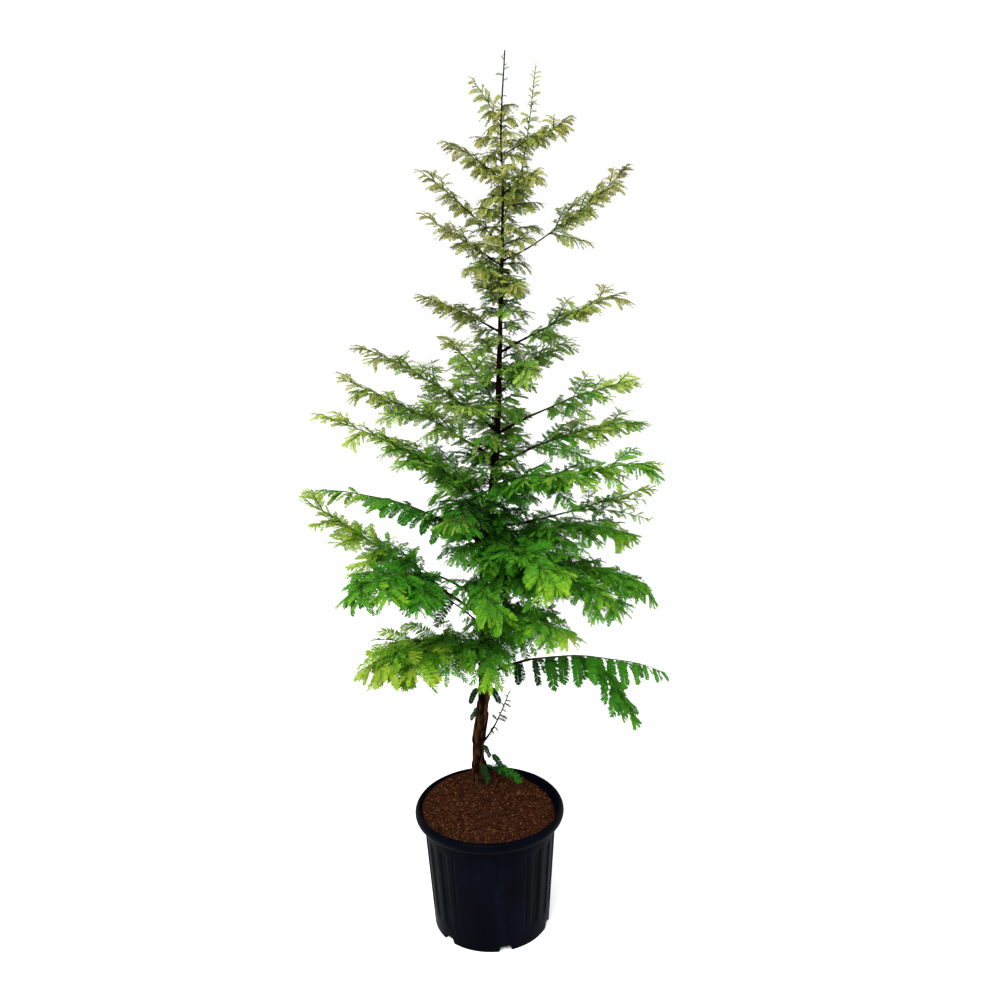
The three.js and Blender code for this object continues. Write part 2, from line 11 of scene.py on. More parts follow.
import bpy
import numpy as np
from mathutils import Matrix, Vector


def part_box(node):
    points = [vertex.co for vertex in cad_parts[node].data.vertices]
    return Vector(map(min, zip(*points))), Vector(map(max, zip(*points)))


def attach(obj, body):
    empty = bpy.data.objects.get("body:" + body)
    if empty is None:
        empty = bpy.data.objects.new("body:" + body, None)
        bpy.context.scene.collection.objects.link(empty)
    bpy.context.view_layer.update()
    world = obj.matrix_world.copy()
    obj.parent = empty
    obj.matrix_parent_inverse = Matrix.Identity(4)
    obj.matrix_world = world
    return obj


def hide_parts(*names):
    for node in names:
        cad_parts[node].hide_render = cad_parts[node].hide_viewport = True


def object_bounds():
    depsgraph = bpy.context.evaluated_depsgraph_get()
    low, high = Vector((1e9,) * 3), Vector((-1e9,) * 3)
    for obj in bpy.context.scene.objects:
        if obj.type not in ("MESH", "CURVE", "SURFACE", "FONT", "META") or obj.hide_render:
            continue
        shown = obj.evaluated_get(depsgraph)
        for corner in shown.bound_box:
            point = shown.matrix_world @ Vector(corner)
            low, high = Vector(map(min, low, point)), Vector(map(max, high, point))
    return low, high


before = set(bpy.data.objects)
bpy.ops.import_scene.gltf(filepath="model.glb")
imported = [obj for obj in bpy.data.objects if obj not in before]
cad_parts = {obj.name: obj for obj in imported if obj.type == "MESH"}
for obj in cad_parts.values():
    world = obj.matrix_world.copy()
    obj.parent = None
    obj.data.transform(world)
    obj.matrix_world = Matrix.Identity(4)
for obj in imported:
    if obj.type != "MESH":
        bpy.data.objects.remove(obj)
CAD_BOX = [list(corner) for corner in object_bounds()]

bl_info = {
    "name": "Potted Dawn Redwood",
    "version": (1, 0, 0),
    "blender": (4, 5, 0),
    "location": "3D View > Sidebar > Redwood",
    "description": "Dresses a potted dawn redwood with bark, twigs and sprays of needles",
    "category": "Add Mesh",
}

MM = 0.001
UP = np.array([0.0, 0.0, 1.0])
BODY = "root"

# Pot, from the frame and the shape of its wall
_, POT_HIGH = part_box("pot")
POT_HEIGHT = POT_HIGH.z
RIM_RADIUS = POT_HIGH.x
COLLAR_FOOT = POT_HEIGHT - 24 * MM
WALL_RADIUS = 133 * MM
WALL_THICK = 2.2 * MM
FOOT_RADIUS = 118 * MM
FOOT_WIDE = 6 * MM
BOSS_RADIUS = 72 * MM
RECESS_DEEP = 10 * MM
FLOOR = 14 * MM
FLOOR_INSET = 0.5 * MM
LIP_RADIUS = RIM_RADIUS - 11 * MM
SECTION_STEP = 6 * MM
NOTCH_COUNT = 6
NOTCH_WIDE = 24 * MM
NOTCH_TALL = 12 * MM
NOTCH_EDGE = 1 * MM
NOTCH_FIRST = math.radians(13)
# Radii past which the outside counts as wall, and the underside as the foot that is notched
WALL_FROM = FOOT_RADIUS - 1 * MM
FOOT_FROM = FOOT_RADIUS - FOOT_WIDE - 3 * MM
# Flutes: the angles from the pot's sides over which a group dies away, the part of a flute's wave that
# is its edge, and the heights over which flutes start and end
FLUTE_GROUP = 1.02, 0.96
FLUTE_EDGE = 0.15, 0.75
FLUTE_FOOT = 34 * MM, 58 * MM
FLUTE_TOP = COLLAR_FOOT - 22 * MM, COLLAR_FOOT - 34 * MM

# Potting mix: level and slopes of its top, mound towards the trunk, heel close round it, gap to the
# wall, depth of the plug, share of its width underneath, its wide and fine bumps, and how they calm down
# at the wall
MIX_LEVEL = 250 * MM
MIX_RIGHT, MIX_BACK = -0.05, 0.04
MOUND_RISE, MOUND_REACH = 6 * MM, 80 * MM
HEEL_RISE, HEEL_REACH = 5 * MM, 38 * MM
MIX_GAP, MIX_DEEP, MIX_UNDER = 0.4 * MM, 30 * MM, 0.97
BUMP_WIDE, BUMP_FINE, BUMP_TALL, FINE_SHARE = 9 * MM, 4 * MM, 4 * MM, 0.5
CALM_LEAST, CALM_GAIN = 0.2, 8
# Crumbs: distance kept from the wall, share of pale ones, height over the mix in crumb sizes, how far
# they tip, and their breadth in crumb sizes
CRUMB_KEEP, PALE_SHARE, CRUMB_LIE, CRUMB_TIP = 3 * MM, 0.35, 0.25, 0.7
CRUMB_BROAD = 0.8

# Values whose names end in VARIES hold a least share and how much chance may add to it
CRUMB_VARIES = 0.45, 1.1
CRUMB_LONG_VARIES = 0.9, 0.9
CRUMB_THICK_VARIES = 0.35, 0.5
DROOP_VARIES = 0.6, 0.8
SPRAY_VARIES = 0.74, 0.52
FORK_VARIES = 0.75, 0.45
TWIG_VARIES = 0.55, 0.7
SHOOT_VARIES = 0.6, 0.6
RISE_VARIES = 0.1, 0.5
NEEDLE_VARIES = 0.9, 0.25

# Trunk axis from the ground cut to the tip
TRUNK_AXIS = MM * np.array([
    (-20, 85, 264),
    (-22, 83, 350),
    (-9, 80, 445),
    (-3, 77, 560),
    (0, 72, 728),
    (28, 65, 982),
    (40, 59, 1192),
    (50, 52, 1440),
    (49, 48, 1560),
    (58, 45, 1686),
])
TRUNK_FOOT, TRUNK_TIP, TRUNK_TAPER = 14 * MM, 1 * MM, 1.35
# How far the trunk goes on below its cut, and how its rings crowd downwards
TRUNK_SUNK, RINGS_CROWD = 9 * MM, 1.5
FLARE, FLARE_TALL = 4 * MM, 30 * MM
LOBES, LOBE_DEEP, LOBE_TURN, LOBE_TALL = 3, 0.14, 1, 90 * MM
# Bark: cells round the trunk and their height for the strips' wander, strips, narrow strips and fibres,
# the blend of strips that is cut to flakes, and the blend of flakes, narrow strips and fibres that is
# the relief
DRIFT_CELLS, DRIFT_TALL, DRIFT_WIDE = 3, 70 * MM, 0.9
STRIP_CELLS, STRIP_TALL = 12, 48 * MM
NARROW_CELLS, NARROW_TALL = 26, 20 * MM
FIBRE_CELLS, FIBRE_TALL = 42, 9 * MM
FLAKE_BLEND, FLAKE_CUT = (0.65, 0.35), (0.40, 0.58)
RELIEF_BLEND, RELIEF_LEVEL, RELIEF_FADE = (0.62, 0.22, 0.16), 0.55, 0.8
# Heights over which old bark gives way to plainer bark, and how far. The plainer bark is also coloured
# darker, partly as younger bark and partly as painted shade of the crown.
OLD_BARK_TO_CROWN_SHADE, PLAINER_AND_SHADED = (520 * MM, 760 * MM), 0.8

# Boughs: their wander as a share of the reach, its waves to the sides and up and down, and their radius
# where they leave the trunk, as a least size, a gain with reach, and the most as a share of the trunk's
# radius
WANDER, WANDER_EASE = 0.014, 1.2
SWAY_WAVES, BOB_WAVES = (7, 17), (8, 19)
BOUGH_THIN, BOUGH_GAIN, BOUGH_MOST, BOUGH_TAPER = 1.6 * MM, 0.0075, 0.75, 0.45
STEM_POINTS, STEM_TIP = 33, 0.65 * MM
# Ridges and knots in a bough's bark: ridges round it, lengths, depths, the noise from which a knot
# stands out, and how far apart on the grid the noise of two boughs is read
RIDGES, RIDGE_LONG, RIDGE_DEEP = 5, 7 * MM, 0.34
KNOT_LONG, KNOT_FROM, KNOT_DEEP = 11 * MM, 0.8, 0.3
RIDGE_APART, KNOT_APART = 40, 60
# Side twigs: points on their paths, radii, angle to the bough, lift, length as a share of the bough's
# reach at its root and its tip, sag, share that is bare, and size of their sprays beside the bough's.
# Then how far their age goes on to the age of the bough's tip, and where they stand on the bough.
TWIG_POINTS, TWIG_ROOT, TWIG_TIP, TWIG_SLIMMEST = 9, 1.5 * MM, 0.7 * MM, 0.7
FORK, TWIG_LIFT, TWIG_REACH = math.radians(52), 0.1, (0.36, 0.11)
TWIG_SAG, SAG_CURVE = 0.34, 1.4
TWIG_BARE, TWIG_SPRAYS, TWIG_PRIME = 0.12, 0.8, 0.5
TWIG_FIRST, TWIG_SCATTER, TWIG_LAST, TWIG_OUTWARD = 0.2, 0.6, 0.8, 1.25

# How sprays lie, by height in the crown: how far they slope down where they leave their twig and bend
# further on, how widely their sides and side twigs turn up and down, in radians, and how far they lean
# out, in degrees. Then how widely chance varies their lean, in degrees, and their roll, in radians, and
# the least sine of a lean that counts as one.
CROWN_FOOT, CROWN_TOP = 500 * MM, 1620 * MM
HANG_HEIGHT = MM * np.array([500, 700, 850, 1000, 1250, 1600])
HANG_SLOPE = [0.95, 0.60, 0.36, 0.22, 0.06, 0.10]
HANG_BEND = [0.35, 0.36, 0.24, 0.18, 0.26, 0.44]
TURN_HEIGHT = MM * np.array([700, 900, 1250, 1550])
SPRAY_TURN = [1.6, 1.3, 1.5, 1.7]
SPRAY_SET = [0.15, 0.22, 0.05, -0.2]
SPRAY_LEAN = [62, 52, 48, 48]
TWIG_TURN = [0.6, 1.1, 1.4, 1.5]
LEAN_VARIES_BY, ROLL_VARIES_BY, LEAN_LEAST = 16, 0.6, 0.2
# Heights where sprays have their low, middle and high sizes, and their share of that along a carrier
SIZE_HEIGHT = MM * np.array([620, 900, 1500])
GROW_AT = [0, 0.25, 0.6, 0.85, 1]
GROW_SHARE = [0.78, 1.0, 0.95, 0.75, 0.45]
# How much further apart pairs of sprays and side twigs stand near the top, and the heights for it
OPEN_HEIGHT = MM * np.array([1080, 1380])
PAIR_OPEN, TWIG_OPEN = [1.0, 1.25], [1.0, 1.4]
# Pairs along a carrier: the fewest, place of the first, lag of one side behind the other, and scatter.
# Sprays that hang steeply stand further apart, scatter less and crowd to the end.
LEAST_PAIRS, PAIR_FIRST, PAIR_LAG, PAIR_SCATTER = 2, 0.15, 0.3, 0.5
STEEP_APART, STEEP_SCATTER, STEEP_CROWD = 0.8, 0.4, 0.25
# Upright wood carries its sprays in a spiral: rise from which it counts as upright, the spiral's turn
# and its looseness, and the least level part of a direction that gives it sides
UPRIGHT_RISE, SPIRAL_TURN, SPIRAL_LOOSE = 0.8, 2.4, 1.5
LEVEL_LEAST = 0.05
# Young sprays: ages over which they are young, how much less they lean out, droop and are wide, and how
# far the spray at a carrier's end droops beside the others
YOUNG_AGE = 0.55, 1.0
YOUNG_LEAN, YOUNG_STIFF, YOUNG_SLIM, END_DROOP = 20, 0.5, 0.12, 0.3
# How light a spray is: the least, what its height, its age, the patch it lies in and chance add, the
# most, and the width of a patch. Distances from the trunk over which a bough's sprays take on the tone
# of its end.
LIGHT_LEAST, LIGHT_CROWN, LIGHT_AGE, LIGHT_CURVE = 0.17, 0.2, 0.42, 1.4
LIGHT_PATCH, LIGHT_CHANCE, LIGHT_MOST = 0.36, 0.26, 0.999
PATCH_WIDE = 0.06
OUTER = 140 * MM, 270 * MM
# Room in the rule's numbers for the twigs of a bough, the pairs of a carrier, the sides of a pair and
# the needles of a spray, and the first numbers of what grows straight on the trunk
TWIG_ROOM, PAIR_ROOM, SIDE_ROOM, NEEDLE_ROOM = 50, 100, 3, 53
LEADER_NUMBER, SPIRE_NUMBER, SHOOT_NUMBER, SINGLE_NUMBER = 900, 901, 910, 1200
# Distances that a spray's tip keeps from the trunk and the mix, and how far it may stand out of the
# part's box
TRUNK_CLEAR, MIX_CLEAR, BOX_SLACK = 3 * MM, 4 * MM, 6 * MM
# Share of its last spray's length that a bough stops short of its reach, and the same for a single spray
END_SHORT, SINGLE_SHORT = 0.4, 1.2


class Bough(NamedTuple):
    """A bough as it is measured, in mm and degrees."""

    height: float  # on the trunk, above the ground
    heading: float  # 0 right, 90 away, 180 left, 270 to the front
    reach: float  # level
    rise: float  # of its tip
    arch: float  # of its middle
    bare: float  # share of it that is bare, 1 for a single spray at its end
    tone: float  # how light its sprays are
    forks: float = 1.0  # how many side twigs it has beside the common number
    hang: float = 1.0  # how steeply its sprays hang


class Way(NamedTuple):
    """How a bough's sprays differ from the common ones."""

    scale: float = 1.0  # share of the common size
    gap: float = 1.0  # share of the common distance between them
    tips: float = 0.0  # how much lighter they are at the bough's end
    broad: float = 1.0  # how broad their needles are beside the common width


# Boughs from the ground up
BOUGHS = [
    Bough(510, 345, 375, 35, 45, 0.13, -0.24, 0.0, 2.1),
    Bough(535, 80, 260, 50, 30, 0.12, 0.08),
    Bough(572, 207, 280, 0, 35, 0.06, 0.30, 1.2, 0.3),
    Bough(592, 275, 150, -45, 30, 0.10, 0.18, 1.0, 0.8),
    Bough(612, 157, 200, 80, 25, 0.40, 0.00, 0.3, 0.8),
    Bough(636, 184, 345, 268, 5, 0.34, 0.12, 0.6, 0.1),
    Bough(649, 318, 235, -5, 25, 0.10, 0.06, 1.2, 0.5),
    Bough(668, 222, 340, 95, 62, 0.42, -0.22, 1.2, 0.9),
    Bough(690, 20, 370, -45, 50, 0.12, -0.06, 1.4, 0.5),
    Bough(702, 273, 200, 5, 35, 0.10, 0.00, 0.8, 0.8),
    Bough(712, 338, 295, -40, 60, 0.10, -0.08, 1.4, 0.5),
    Bough(748, 108, 290, 90, 25, 0.12, -0.12),
    Bough(765, 8, 310, 15, 45, 0.10, 0.06, 1.5, 0.5),
    Bough(778, 302, 265, -15, 45, 0.12, 0.02, 1.2, 0.7),
    Bough(790, 172, 350, 105, 32, 0.16, -0.09, 0.0, 1.4),
    Bough(826, 26, 370, 30, -10, 0.50, 0.20, 0.8, 0.3),
    Bough(842, 250, 190, 35, 30, 0.12, -0.32, 1.2, 1.0),
    Bough(862, 140, 265, 110, 15, 0.12, 0.06),
    Bough(875, 196, 320, 200, 20, 0.12, 0.08),
    Bough(893, 349, 325, 72, 15, 0.12, 0.00),
    Bough(908, 318, 255, 45, 25, 0.12, 0.00),
    Bough(925, 78, 250, 100, 15, 0.12, -0.06),
    Bough(944, 9, 310, 70, 28, 0.26, 0.10, 0.9, 1.0),
    Bough(965, 175, 295, 160, 10, 0.18, 0.16),
    Bough(1013, 0, 275, 94, 18, 0.36, 0.12, 0.8, 1.0),
    Bough(1020, 188, 258, 176, 15, 0.18, 0.10),
    Bough(1035, 245, 165, 60, 15, 0.14, 0.08),
    Bough(1062, 118, 215, 110, 10, 0.14, 0.06),
    Bough(1090, 40, 195, 85, 10, 0.16, 0.04),
    Bough(1120, 300, 140, 25, 20, 0.16, 0.04),
    Bough(1168, 355, 232, 112, 5, 0.24, 0.05),
    Bough(1206, 184, 155, 76, 5, 0.20, 0.18),
    Bough(1232, 92, 150, 90, 5, 0.18, 0.02),
    Bough(1262, 285, 115, 35, 15, 0.18, 0.06),
    Bough(1300, 240, 115, 25, 15, 0.18, -0.02),
    Bough(1326, 194, 148, 99, 0, 0.20, 0.08),
    Bough(1334, 10, 237, 165, -18, 0.34, 0.08),
    Bough(1358, 172, 148, 137, 8, 0.20, 0.02),
    Bough(1400, 70, 105, 80, 5, 0.20, 0.02),
    Bough(1434, 352, 62, 238, -76, 0.25, -0.10, 0.6, 1.0),
    Bough(1448, 310, 110, 30, 12, 0.20, 0.04),
    Bough(1472, 181, 110, 73, 8, 0.20, 0.02),
    Bough(1516, 20, 140, 62, 0, 0.22, 0.02),
    Bough(1570, 180, 50, 76, 0, 0.08, 0.00, 0.6, 1.0),
]
# Boughs whose sprays are unlike their neighbours', by the bough's number
OWN_WAY = {
    1: Way(0.80, 1.15, 0.00, 1.35),
    3: Way(1.20, 1.00, 0.32, 1.10),
    6: Way(0.90, 0.70, 0.40),
    7: Way(0.85, 0.78, 0.12),
    8: Way(1.15, 1.05, 0.20, 1.15),
    9: Way(0.72, 0.60, 0.04),
    11: Way(0.75, 0.62, 0.04),
    13: Way(0.82, 0.70, 0.06),
    14: Way(tips=0.24),
    15: Way(1.10, 1.00, 0.24, 1.30),
    16: Way(0.62, 0.80, 0.28),
    17: Way(1.25, 0.90),
    19: Way(tips=0.16),
    20: Way(tips=0.14),
    31: Way(gap=0.90),
    32: Way(1.00, 0.85, 0.04),
    34: Way(1.05, 0.80),
    35: Way(1.05, 0.80),
    37: Way(0.95, 0.78, 0.04),
    40: Way(0.60, 1.20),
    41: Way(1.05, 0.80),
    43: Way(1.05, 0.78),
    44: Way(0.80, 0.90),
}
# Shoots low on the trunk, measured like boughs, by the names of their solids
SPROUTS = {
    # The sprouts' low tones are painted shade, which gives them the darkest tints.
    "sprout_leafy": (Bough(302, 339, 90, -14, 10, 1.00, -0.32, 0.0, 0.2), Way(scale=0.85, broad=1.2)),
    "sprout_bare": (Bough(345, 358, 70, 135, -18, 0.20, -0.45, 0.0, 0.3), Way(scale=0.22, broad=1.2)),
}
SPROUT_STOUT, SPROUT_ROLL, SPROUT_WOOD = 1.5, math.radians(20), 0.45
# Single sprays straight on the trunk where it is nearly bare: height, heading, length of twig, share of
# full size, how far the spray is turned about its stalk, in degrees, and how steeply it hangs
SINGLE_SPRAYS = [
    (484, 184, 3, 0.48, -75, 3.0),
    (484, 350, 3, 0.50, 75, 3.0),
    (442, 205, 2, 0.40, -50, 3.0),
    (356, 328, 1, 0.46, 50, 3.0),
    (338, 345, 18, 0.46, 65, 3.0),
    (314, 306, 1, 0.52, 20, 3.0),
    (772, 188, 2, 0.50, -50, 0.8),
    (724, 184, 3, 0.62, -60, 0.6),
    (704, 198, 3, 0.58, -45, 1.1),
]
SINGLE_SAG = 0.2
# The lowest bough's weeping fork: its number among the twigs, where it leaves, as a share of the bough,
# its level reach, its drop, and the parts of the drop that are slope and bend
WEEPER_BOUGH, WEEPER_NUMBER, WEEPER_FROM = 1, 49, 0.55
WEEPER_REACH, WEEPER_DROP, WEEPER_SLOPE, WEEPER_BEND = 115 * MM, 125 * MM, 0.35, 0.65
# The leader with its spire, and the short shoots below it: heights, lengths, sag, and how they crowd
# downwards
LEADER_FOOT, SPIRE_FOOT = 1340 * MM, 1600 * MM
SHOOTS_FROM, SHOOTS_TO = 740 * MM, 1600 * MM
SHOOT_HEIGHT = MM * np.array([740, 900, 1000, 1250, 1400, 1600])
SHOOT_LONG = MM * np.array([90, 70, 48, 46, 64, 26])
SHOOT_SAG, SHOOT_CROWD = 0.3, 1.3
# Heights between which no short shoots face the front, and up to which none faces left, so that the
# trunk shows, with the sine and the cosine of a heading where those sides begin
BARE_FRONT, FRONT_SIDE = (1025 * MM, 1180 * MM), -0.45
BARE_LEFT, LEFT_SIDE = 800 * MM, -0.2

# Stalks: share of a spray's length, radii at both ends, and the length of a spray that has these radii
STALK_END, STALK_ROOT, STALK_TIP, STALK_LONG = 0.97, 0.6 * MM, 0.3 * MM, 60 * MM
# Needles along a spray: place of the first, stretch that they take up, how they crowd, and how many
# pairs there may be. Their angle to the stalk in degrees and their length, by the place on the stalk.
NEEDLE_FIRST, NEEDLE_STRETCH, NEEDLE_CROWD = 0.02, 0.97, 0.95
FEWEST_NEEDLES, MOST_NEEDLES = 6, 34
ANGLE_AT, ANGLE = [0, 0.7, 0.9, 1], [76, 64, 48, 14]
LENGTH_AT, LENGTH = [0, 0.12, 0.3, 0.8, 0.93, 1], [0.55, 0.95, 1.0, 0.95, 0.8, 0.55]
# A needle's length beside its spray's width, the least angle that lengthens it, how young ones close
# up, and the place past which chance leaves the angle alone
NEEDLE_HALF, ANGLE_LEAST, YOUNG_CLOSE, STRAIGHT_FROM = 0.52, 0.85, 0.2, 0.95
# How chance varies a needle's angle, length, dish, twist and lightness, how young needles dish and
# twist, and how much lighter a spray's tip is than its root
ANGLE_CHANCE, LENGTH_CHANCE, DISH_CHANCE, TWIST_CHANCE, TONE_CHANCE = 0.22, 0.3, 0.4, 1.0, 0.14
DISH, YOUNG_DISH, YOUNG_TWIST, TIP_TONE = -0.14, 0.1, 0.1, 0.2
# A blade's half widths at its foot and its shoulder, place of the shoulder, sag of its end, and how its
# width follows the width of the spray
BLADE_FOOT, BLADE_FULL, BLADE_SHOULDER, BLADE_SAG, FINE_CURVE = 0.4, 0.5, 0.72, 0.08, 0.4
BLADE_FACES = np.array([(0, 1, 2), (0, 2, 3), (3, 2, 4)])

# Tints of the needles, from the oldest sprays to the youngest, low in the crown, in its middle and at
# its top, and the heights where the middle and the top start. The low row begins with a darker tint
# that is painted shade, for the single sprays on the trunk and the shoots low on it.
TINT_ROWS = (
    ("deep", "shade", "forest", "leaf", "fresh", "lime", "yellow"),
    ("moss", "meadow", "olive", "reed", "citron"),
    ("drab", "khaki", "gold", "straw", "bronze"),
)
TINT_FROM = MM * np.array([1000, 1215])
# How those heights change from left to right, with young needles, by patches of a width, and by chance
TINT_TILT, TINT_YOUNG, TINT_PATCH, TINT_PATCH_WIDE, TINT_CHANCE = 0.12, 0.08, 0.16, 0.07, 0.14

# Crumbs of mix are octahedra
CRUMB_POINTS = np.array([(1, 0, 0), (0, 1, 0), (-1, 0, 0), (0, -1, 0), (0, 0, 1), (0, 0, -1)], float)
CRUMB_FACES = np.array([
    (0, 1, 4), (1, 2, 4), (2, 3, 4), (3, 0, 4), (1, 0, 5), (2, 1, 5), (3, 2, 5), (0, 3, 5),
])
CRUMB_TINTS = "dark", "red", "pale"
CRUMB_ROOM = 10000

# Camera, at the viewing point that fits the pot's rim and foot, and the lights with the point that they
# face
CAMERA_PLACE = (0.034, -2.05, 1.53)
CAMERA_DOWN = math.radians(17.0)
CAMERA_ROLL = math.radians(1.2)
CAMERA_LENS = 41.6
CAMERA_FAR = 200.0
KEY_PLACE, KEY_SIZE = (-1.35, -2.45, 3.0), 2.2
FILL_PLACE, FILL_SIZE = (2.4, -1.0, 2.2), 2.0
LIT_POINT = np.array([0.0, 0.05, 0.9])
FLOOR_REACH = 40.0


# Measures and chance


def chance(first, second, use):
    """An even number from 0 to 1 that depends only on its three whole numbers. Each use draws apart."""
    mixed = np.sin(first * 12.9898 + second * 78.233 + use * 37.719) * 43758.5453
    return mixed - np.floor(mixed)


def chance_from(least, more, first, second, use):
    """An even number from least to least plus more."""
    return least + more * chance(first, second, use)


def toss(wide, first, second, use):
    """An even number from half of wide below 0 to half of it above."""
    return wide * (chance(first, second, use) - 0.5)


def blend(first, last, share):
    """first at a share of 0, last at 1, and straight between them."""
    return first + (last - first) * share


def smooth_step(low, high, value):
    """0 under low, 1 over high, and an S-curve between them."""
    share = np.clip((value - low) / (high - low), 0, 1)
    return share * share * (3 - 2 * share)


def normalized(vectors):
    """Vectors divided by their lengths."""
    return vectors / np.linalg.norm(vectors, axis=-1, keepdims=True)


def lattice_noise(u, v, period, use):
    """Smooth noise from 0 to 1: chance values on a grid, blended by S-curves, repeating in u after
    period cells."""
    cell_u, cell_v = np.floor(u), np.floor(v)
    share_u = smooth_step(0, 1, u - cell_u)
    share_v = smooth_step(0, 1, v - cell_v)
    corner = [[chance(np.mod(cell_u + i, period), cell_v + j, use) for i in (0, 1)] for j in (0, 1)]
    rows = [blend(pair[0], pair[1], share_u) for pair in corner]
    return blend(rows[0], rows[1], share_v)


def patches(x, y, wide, use, from_x=50, from_y=0):
    """Noise from -0.5 to 0.5 over a plane, in cells of one width, read from a place on the grid."""
    return lattice_noise(x / wide + from_x, y / wide + from_y, 1000, use) - 0.5


# Trunk and boughs as curves


def trunk_line(samples=600):
    """Points on the trunk's axis: a Catmull-Rom curve through the axis points, carried straight on at
    its ends."""
    ends = np.vstack([2 * TRUNK_AXIS[0] - TRUNK_AXIS[1], TRUNK_AXIS, 2 * TRUNK_AXIS[-1] - TRUNK_AXIS[-2]])
    along = np.linspace(0, len(TRUNK_AXIS) - 1, samples + 1)
    first = np.minimum(along.astype(int), len(TRUNK_AXIS) - 2)
    w = (along - first)[:, None]
    a, b, c, d = (ends[first + i] for i in range(4))
    return b + 0.5 * w * (c - a + w * (2 * a - 5 * b + 4 * c - d + w * (3 * b - a - 3 * c + d)))


TRUNK_LINE = trunk_line()


def trunk_at(height):
    """The trunk's axis at heights above the ground, carried straight down below its cut."""
    x, y = (np.interp(height, TRUNK_LINE[:, 2], TRUNK_LINE[:, k]) for k in (0, 1))
    return np.stack([x, y, height + np.zeros_like(x)], axis=-1)


def trunk_radius(height):
    """A taper from foot to tip, with a root flare that dies away upwards."""
    foot, top = TRUNK_AXIS[0, 2], TRUNK_AXIS[-1, 2]
    share = np.clip((height - foot) / (top - foot), 0, 1)
    taper = blend(TRUNK_TIP, TRUNK_FOOT, (1 - share) ** TRUNK_TAPER)
    return taper + FLARE * np.exp(np.minimum(0, foot - height) / FLARE_TALL)


class Carrier(NamedTuple):
    """A stem or twig that carries sprays."""

    path: np.ndarray  # points from its root to its end
    owner: int  # number of its bough, 0 for the trunk
    number: int  # its own number, for chance
    start: float = 0.0  # share of its length before the first spray, 1 for a single spray at its end
    age: float = 0.0  # 0 for old wood near the trunk, 1 at a bough's tip
    tone: float = 0.0  # how light its sprays are
    scale: float = 1.0  # size of its sprays
    gap: float = 1.0  # distance between its sprays
    hang: float = 1.0  # how steeply they hang
    roll: float = 0.0  # how far they are turned about their stalks
    tips: float = 0.0  # how much lighter they are far from the trunk
    prime: float = 1.0  # age at its end
    broad: float = 1.0  # how broad their needles are

    @property
    def steep(self):
        """How much more steeply than common its sprays hang."""
        return max(0.0, self.hang - 1)


def path_length(path):
    """Sum of the straight steps between a path's points."""
    return np.linalg.norm(np.diff(path, axis=0), axis=1).sum()


def along_path(path, share):
    """Points and directions at shares of a path's length, straight between its own points."""
    steps = np.linalg.norm(np.diff(path, axis=0), axis=1)
    reached = np.concatenate([[0], np.cumsum(steps)]) / steps.sum()

    def at(part):
        """Points at shares of the length."""
        part = np.clip(part, 0, 1)
        return np.stack([np.interp(part, reached, path[:, k]) for k in range(3)], axis=-1)

    nudge = 0.02
    return at(share), normalized(at(share + nudge) - at(share - nudge))


def crown_share(height):
    """0 at the crown's foot and 1 at its top."""
    return np.clip((height - CROWN_FOOT) / (CROWN_TOP - CROWN_FOOT), 0, 1)


def waver(t, slow, fast, phase):
    """A slow wave and half as much of a fast one."""
    return np.sin(slow * t + phase[0]) + 0.5 * np.sin(fast * t + phase[1])


def bough_path(bough, number, end):
    """A bough's axis from the trunk: level reach times t, plus rise times t, plus an arch 4t(1-t), with
    a slow wander to the sides and up and down that grows away from the trunk."""
    heading, reach = math.radians(bough.heading), MM * bough.reach
    t = np.linspace(0, end, STEM_POINTS)[:, None]
    out = np.array([math.cos(heading), math.sin(heading), 0.0])
    side = np.array([math.sin(heading), -math.cos(heading), 0.0])
    phase = 2 * np.pi * chance(number, np.arange(4), 3)
    wander = WANDER * reach * t * (WANDER_EASE - t)
    sway = wander * waver(t, *SWAY_WAVES, phase[:2])
    bob = wander * waver(t, *BOB_WAVES, phase[2:])
    lift = MM * bough.rise * t + MM * bough.arch * 4 * t * (1 - t) + bob
    return trunk_at(np.array(MM * bough.height)) + out * reach * t + side * sway + UP * lift


def bough_radius(bough, t):
    """A bough's radius at shares of its reach, slimmer than the trunk where it leaves it."""
    most = BOUGH_MOST * float(trunk_radius(MM * bough.height))
    root = min(BOUGH_THIN + BOUGH_GAIN * MM * bough.reach, most)
    return blend(root, STEM_TIP, t**BOUGH_TAPER)


# Sprays


class Sprays(NamedTuple):
    """Many sprays as arrays, one row each."""

    root: np.ndarray
    along: np.ndarray  # direction of its stalk
    across: np.ndarray  # direction of its width
    long: np.ndarray
    wide: np.ndarray
    curl: np.ndarray  # how far the stalk bends down, as a share of its length
    broad: np.ndarray  # how broad its needles are
    young: np.ndarray  # 0 for flat, full needles, 1 for folded ones
    light: np.ndarray  # 0 dark to 1 light
    owner: np.ndarray
    number: np.ndarray


def pick(sprays, keep):
    """The sprays for which keep is true."""
    return Sprays(*(field[keep] for field in sprays))


def lay_sprays(forward, sideways, lean, droop, roll):
    """Directions of sprays: a spray leans from its twig's direction to the side, droops, and lies in the
    plane of the twig and itself, rolled a little about its own stalk."""
    cos, sin = np.cos(lean)[:, None], np.sin(lean)[:, None]
    along = normalized(cos * forward + sin * sideways - droop[:, None] * UP)
    beside = np.where(np.abs(sin) > LEAN_LEAST, forward, sideways)
    face = normalized(np.cross(along, beside))
    turned = np.cos(roll)[:, None] * face + np.sin(roll)[:, None] * np.cross(along, face)
    return along, np.cross(turned, along)


def spray_size(foliage, height):
    """Length and width of a full spray at heights in the crown."""
    long = np.interp(height, SIZE_HEIGHT, [foliage.low_long, foliage.mid_long, foliage.high_long])
    wide = np.interp(height, SIZE_HEIGHT, [foliage.low_wide, foliage.mid_wide, foliage.high_wide])
    return long, wide


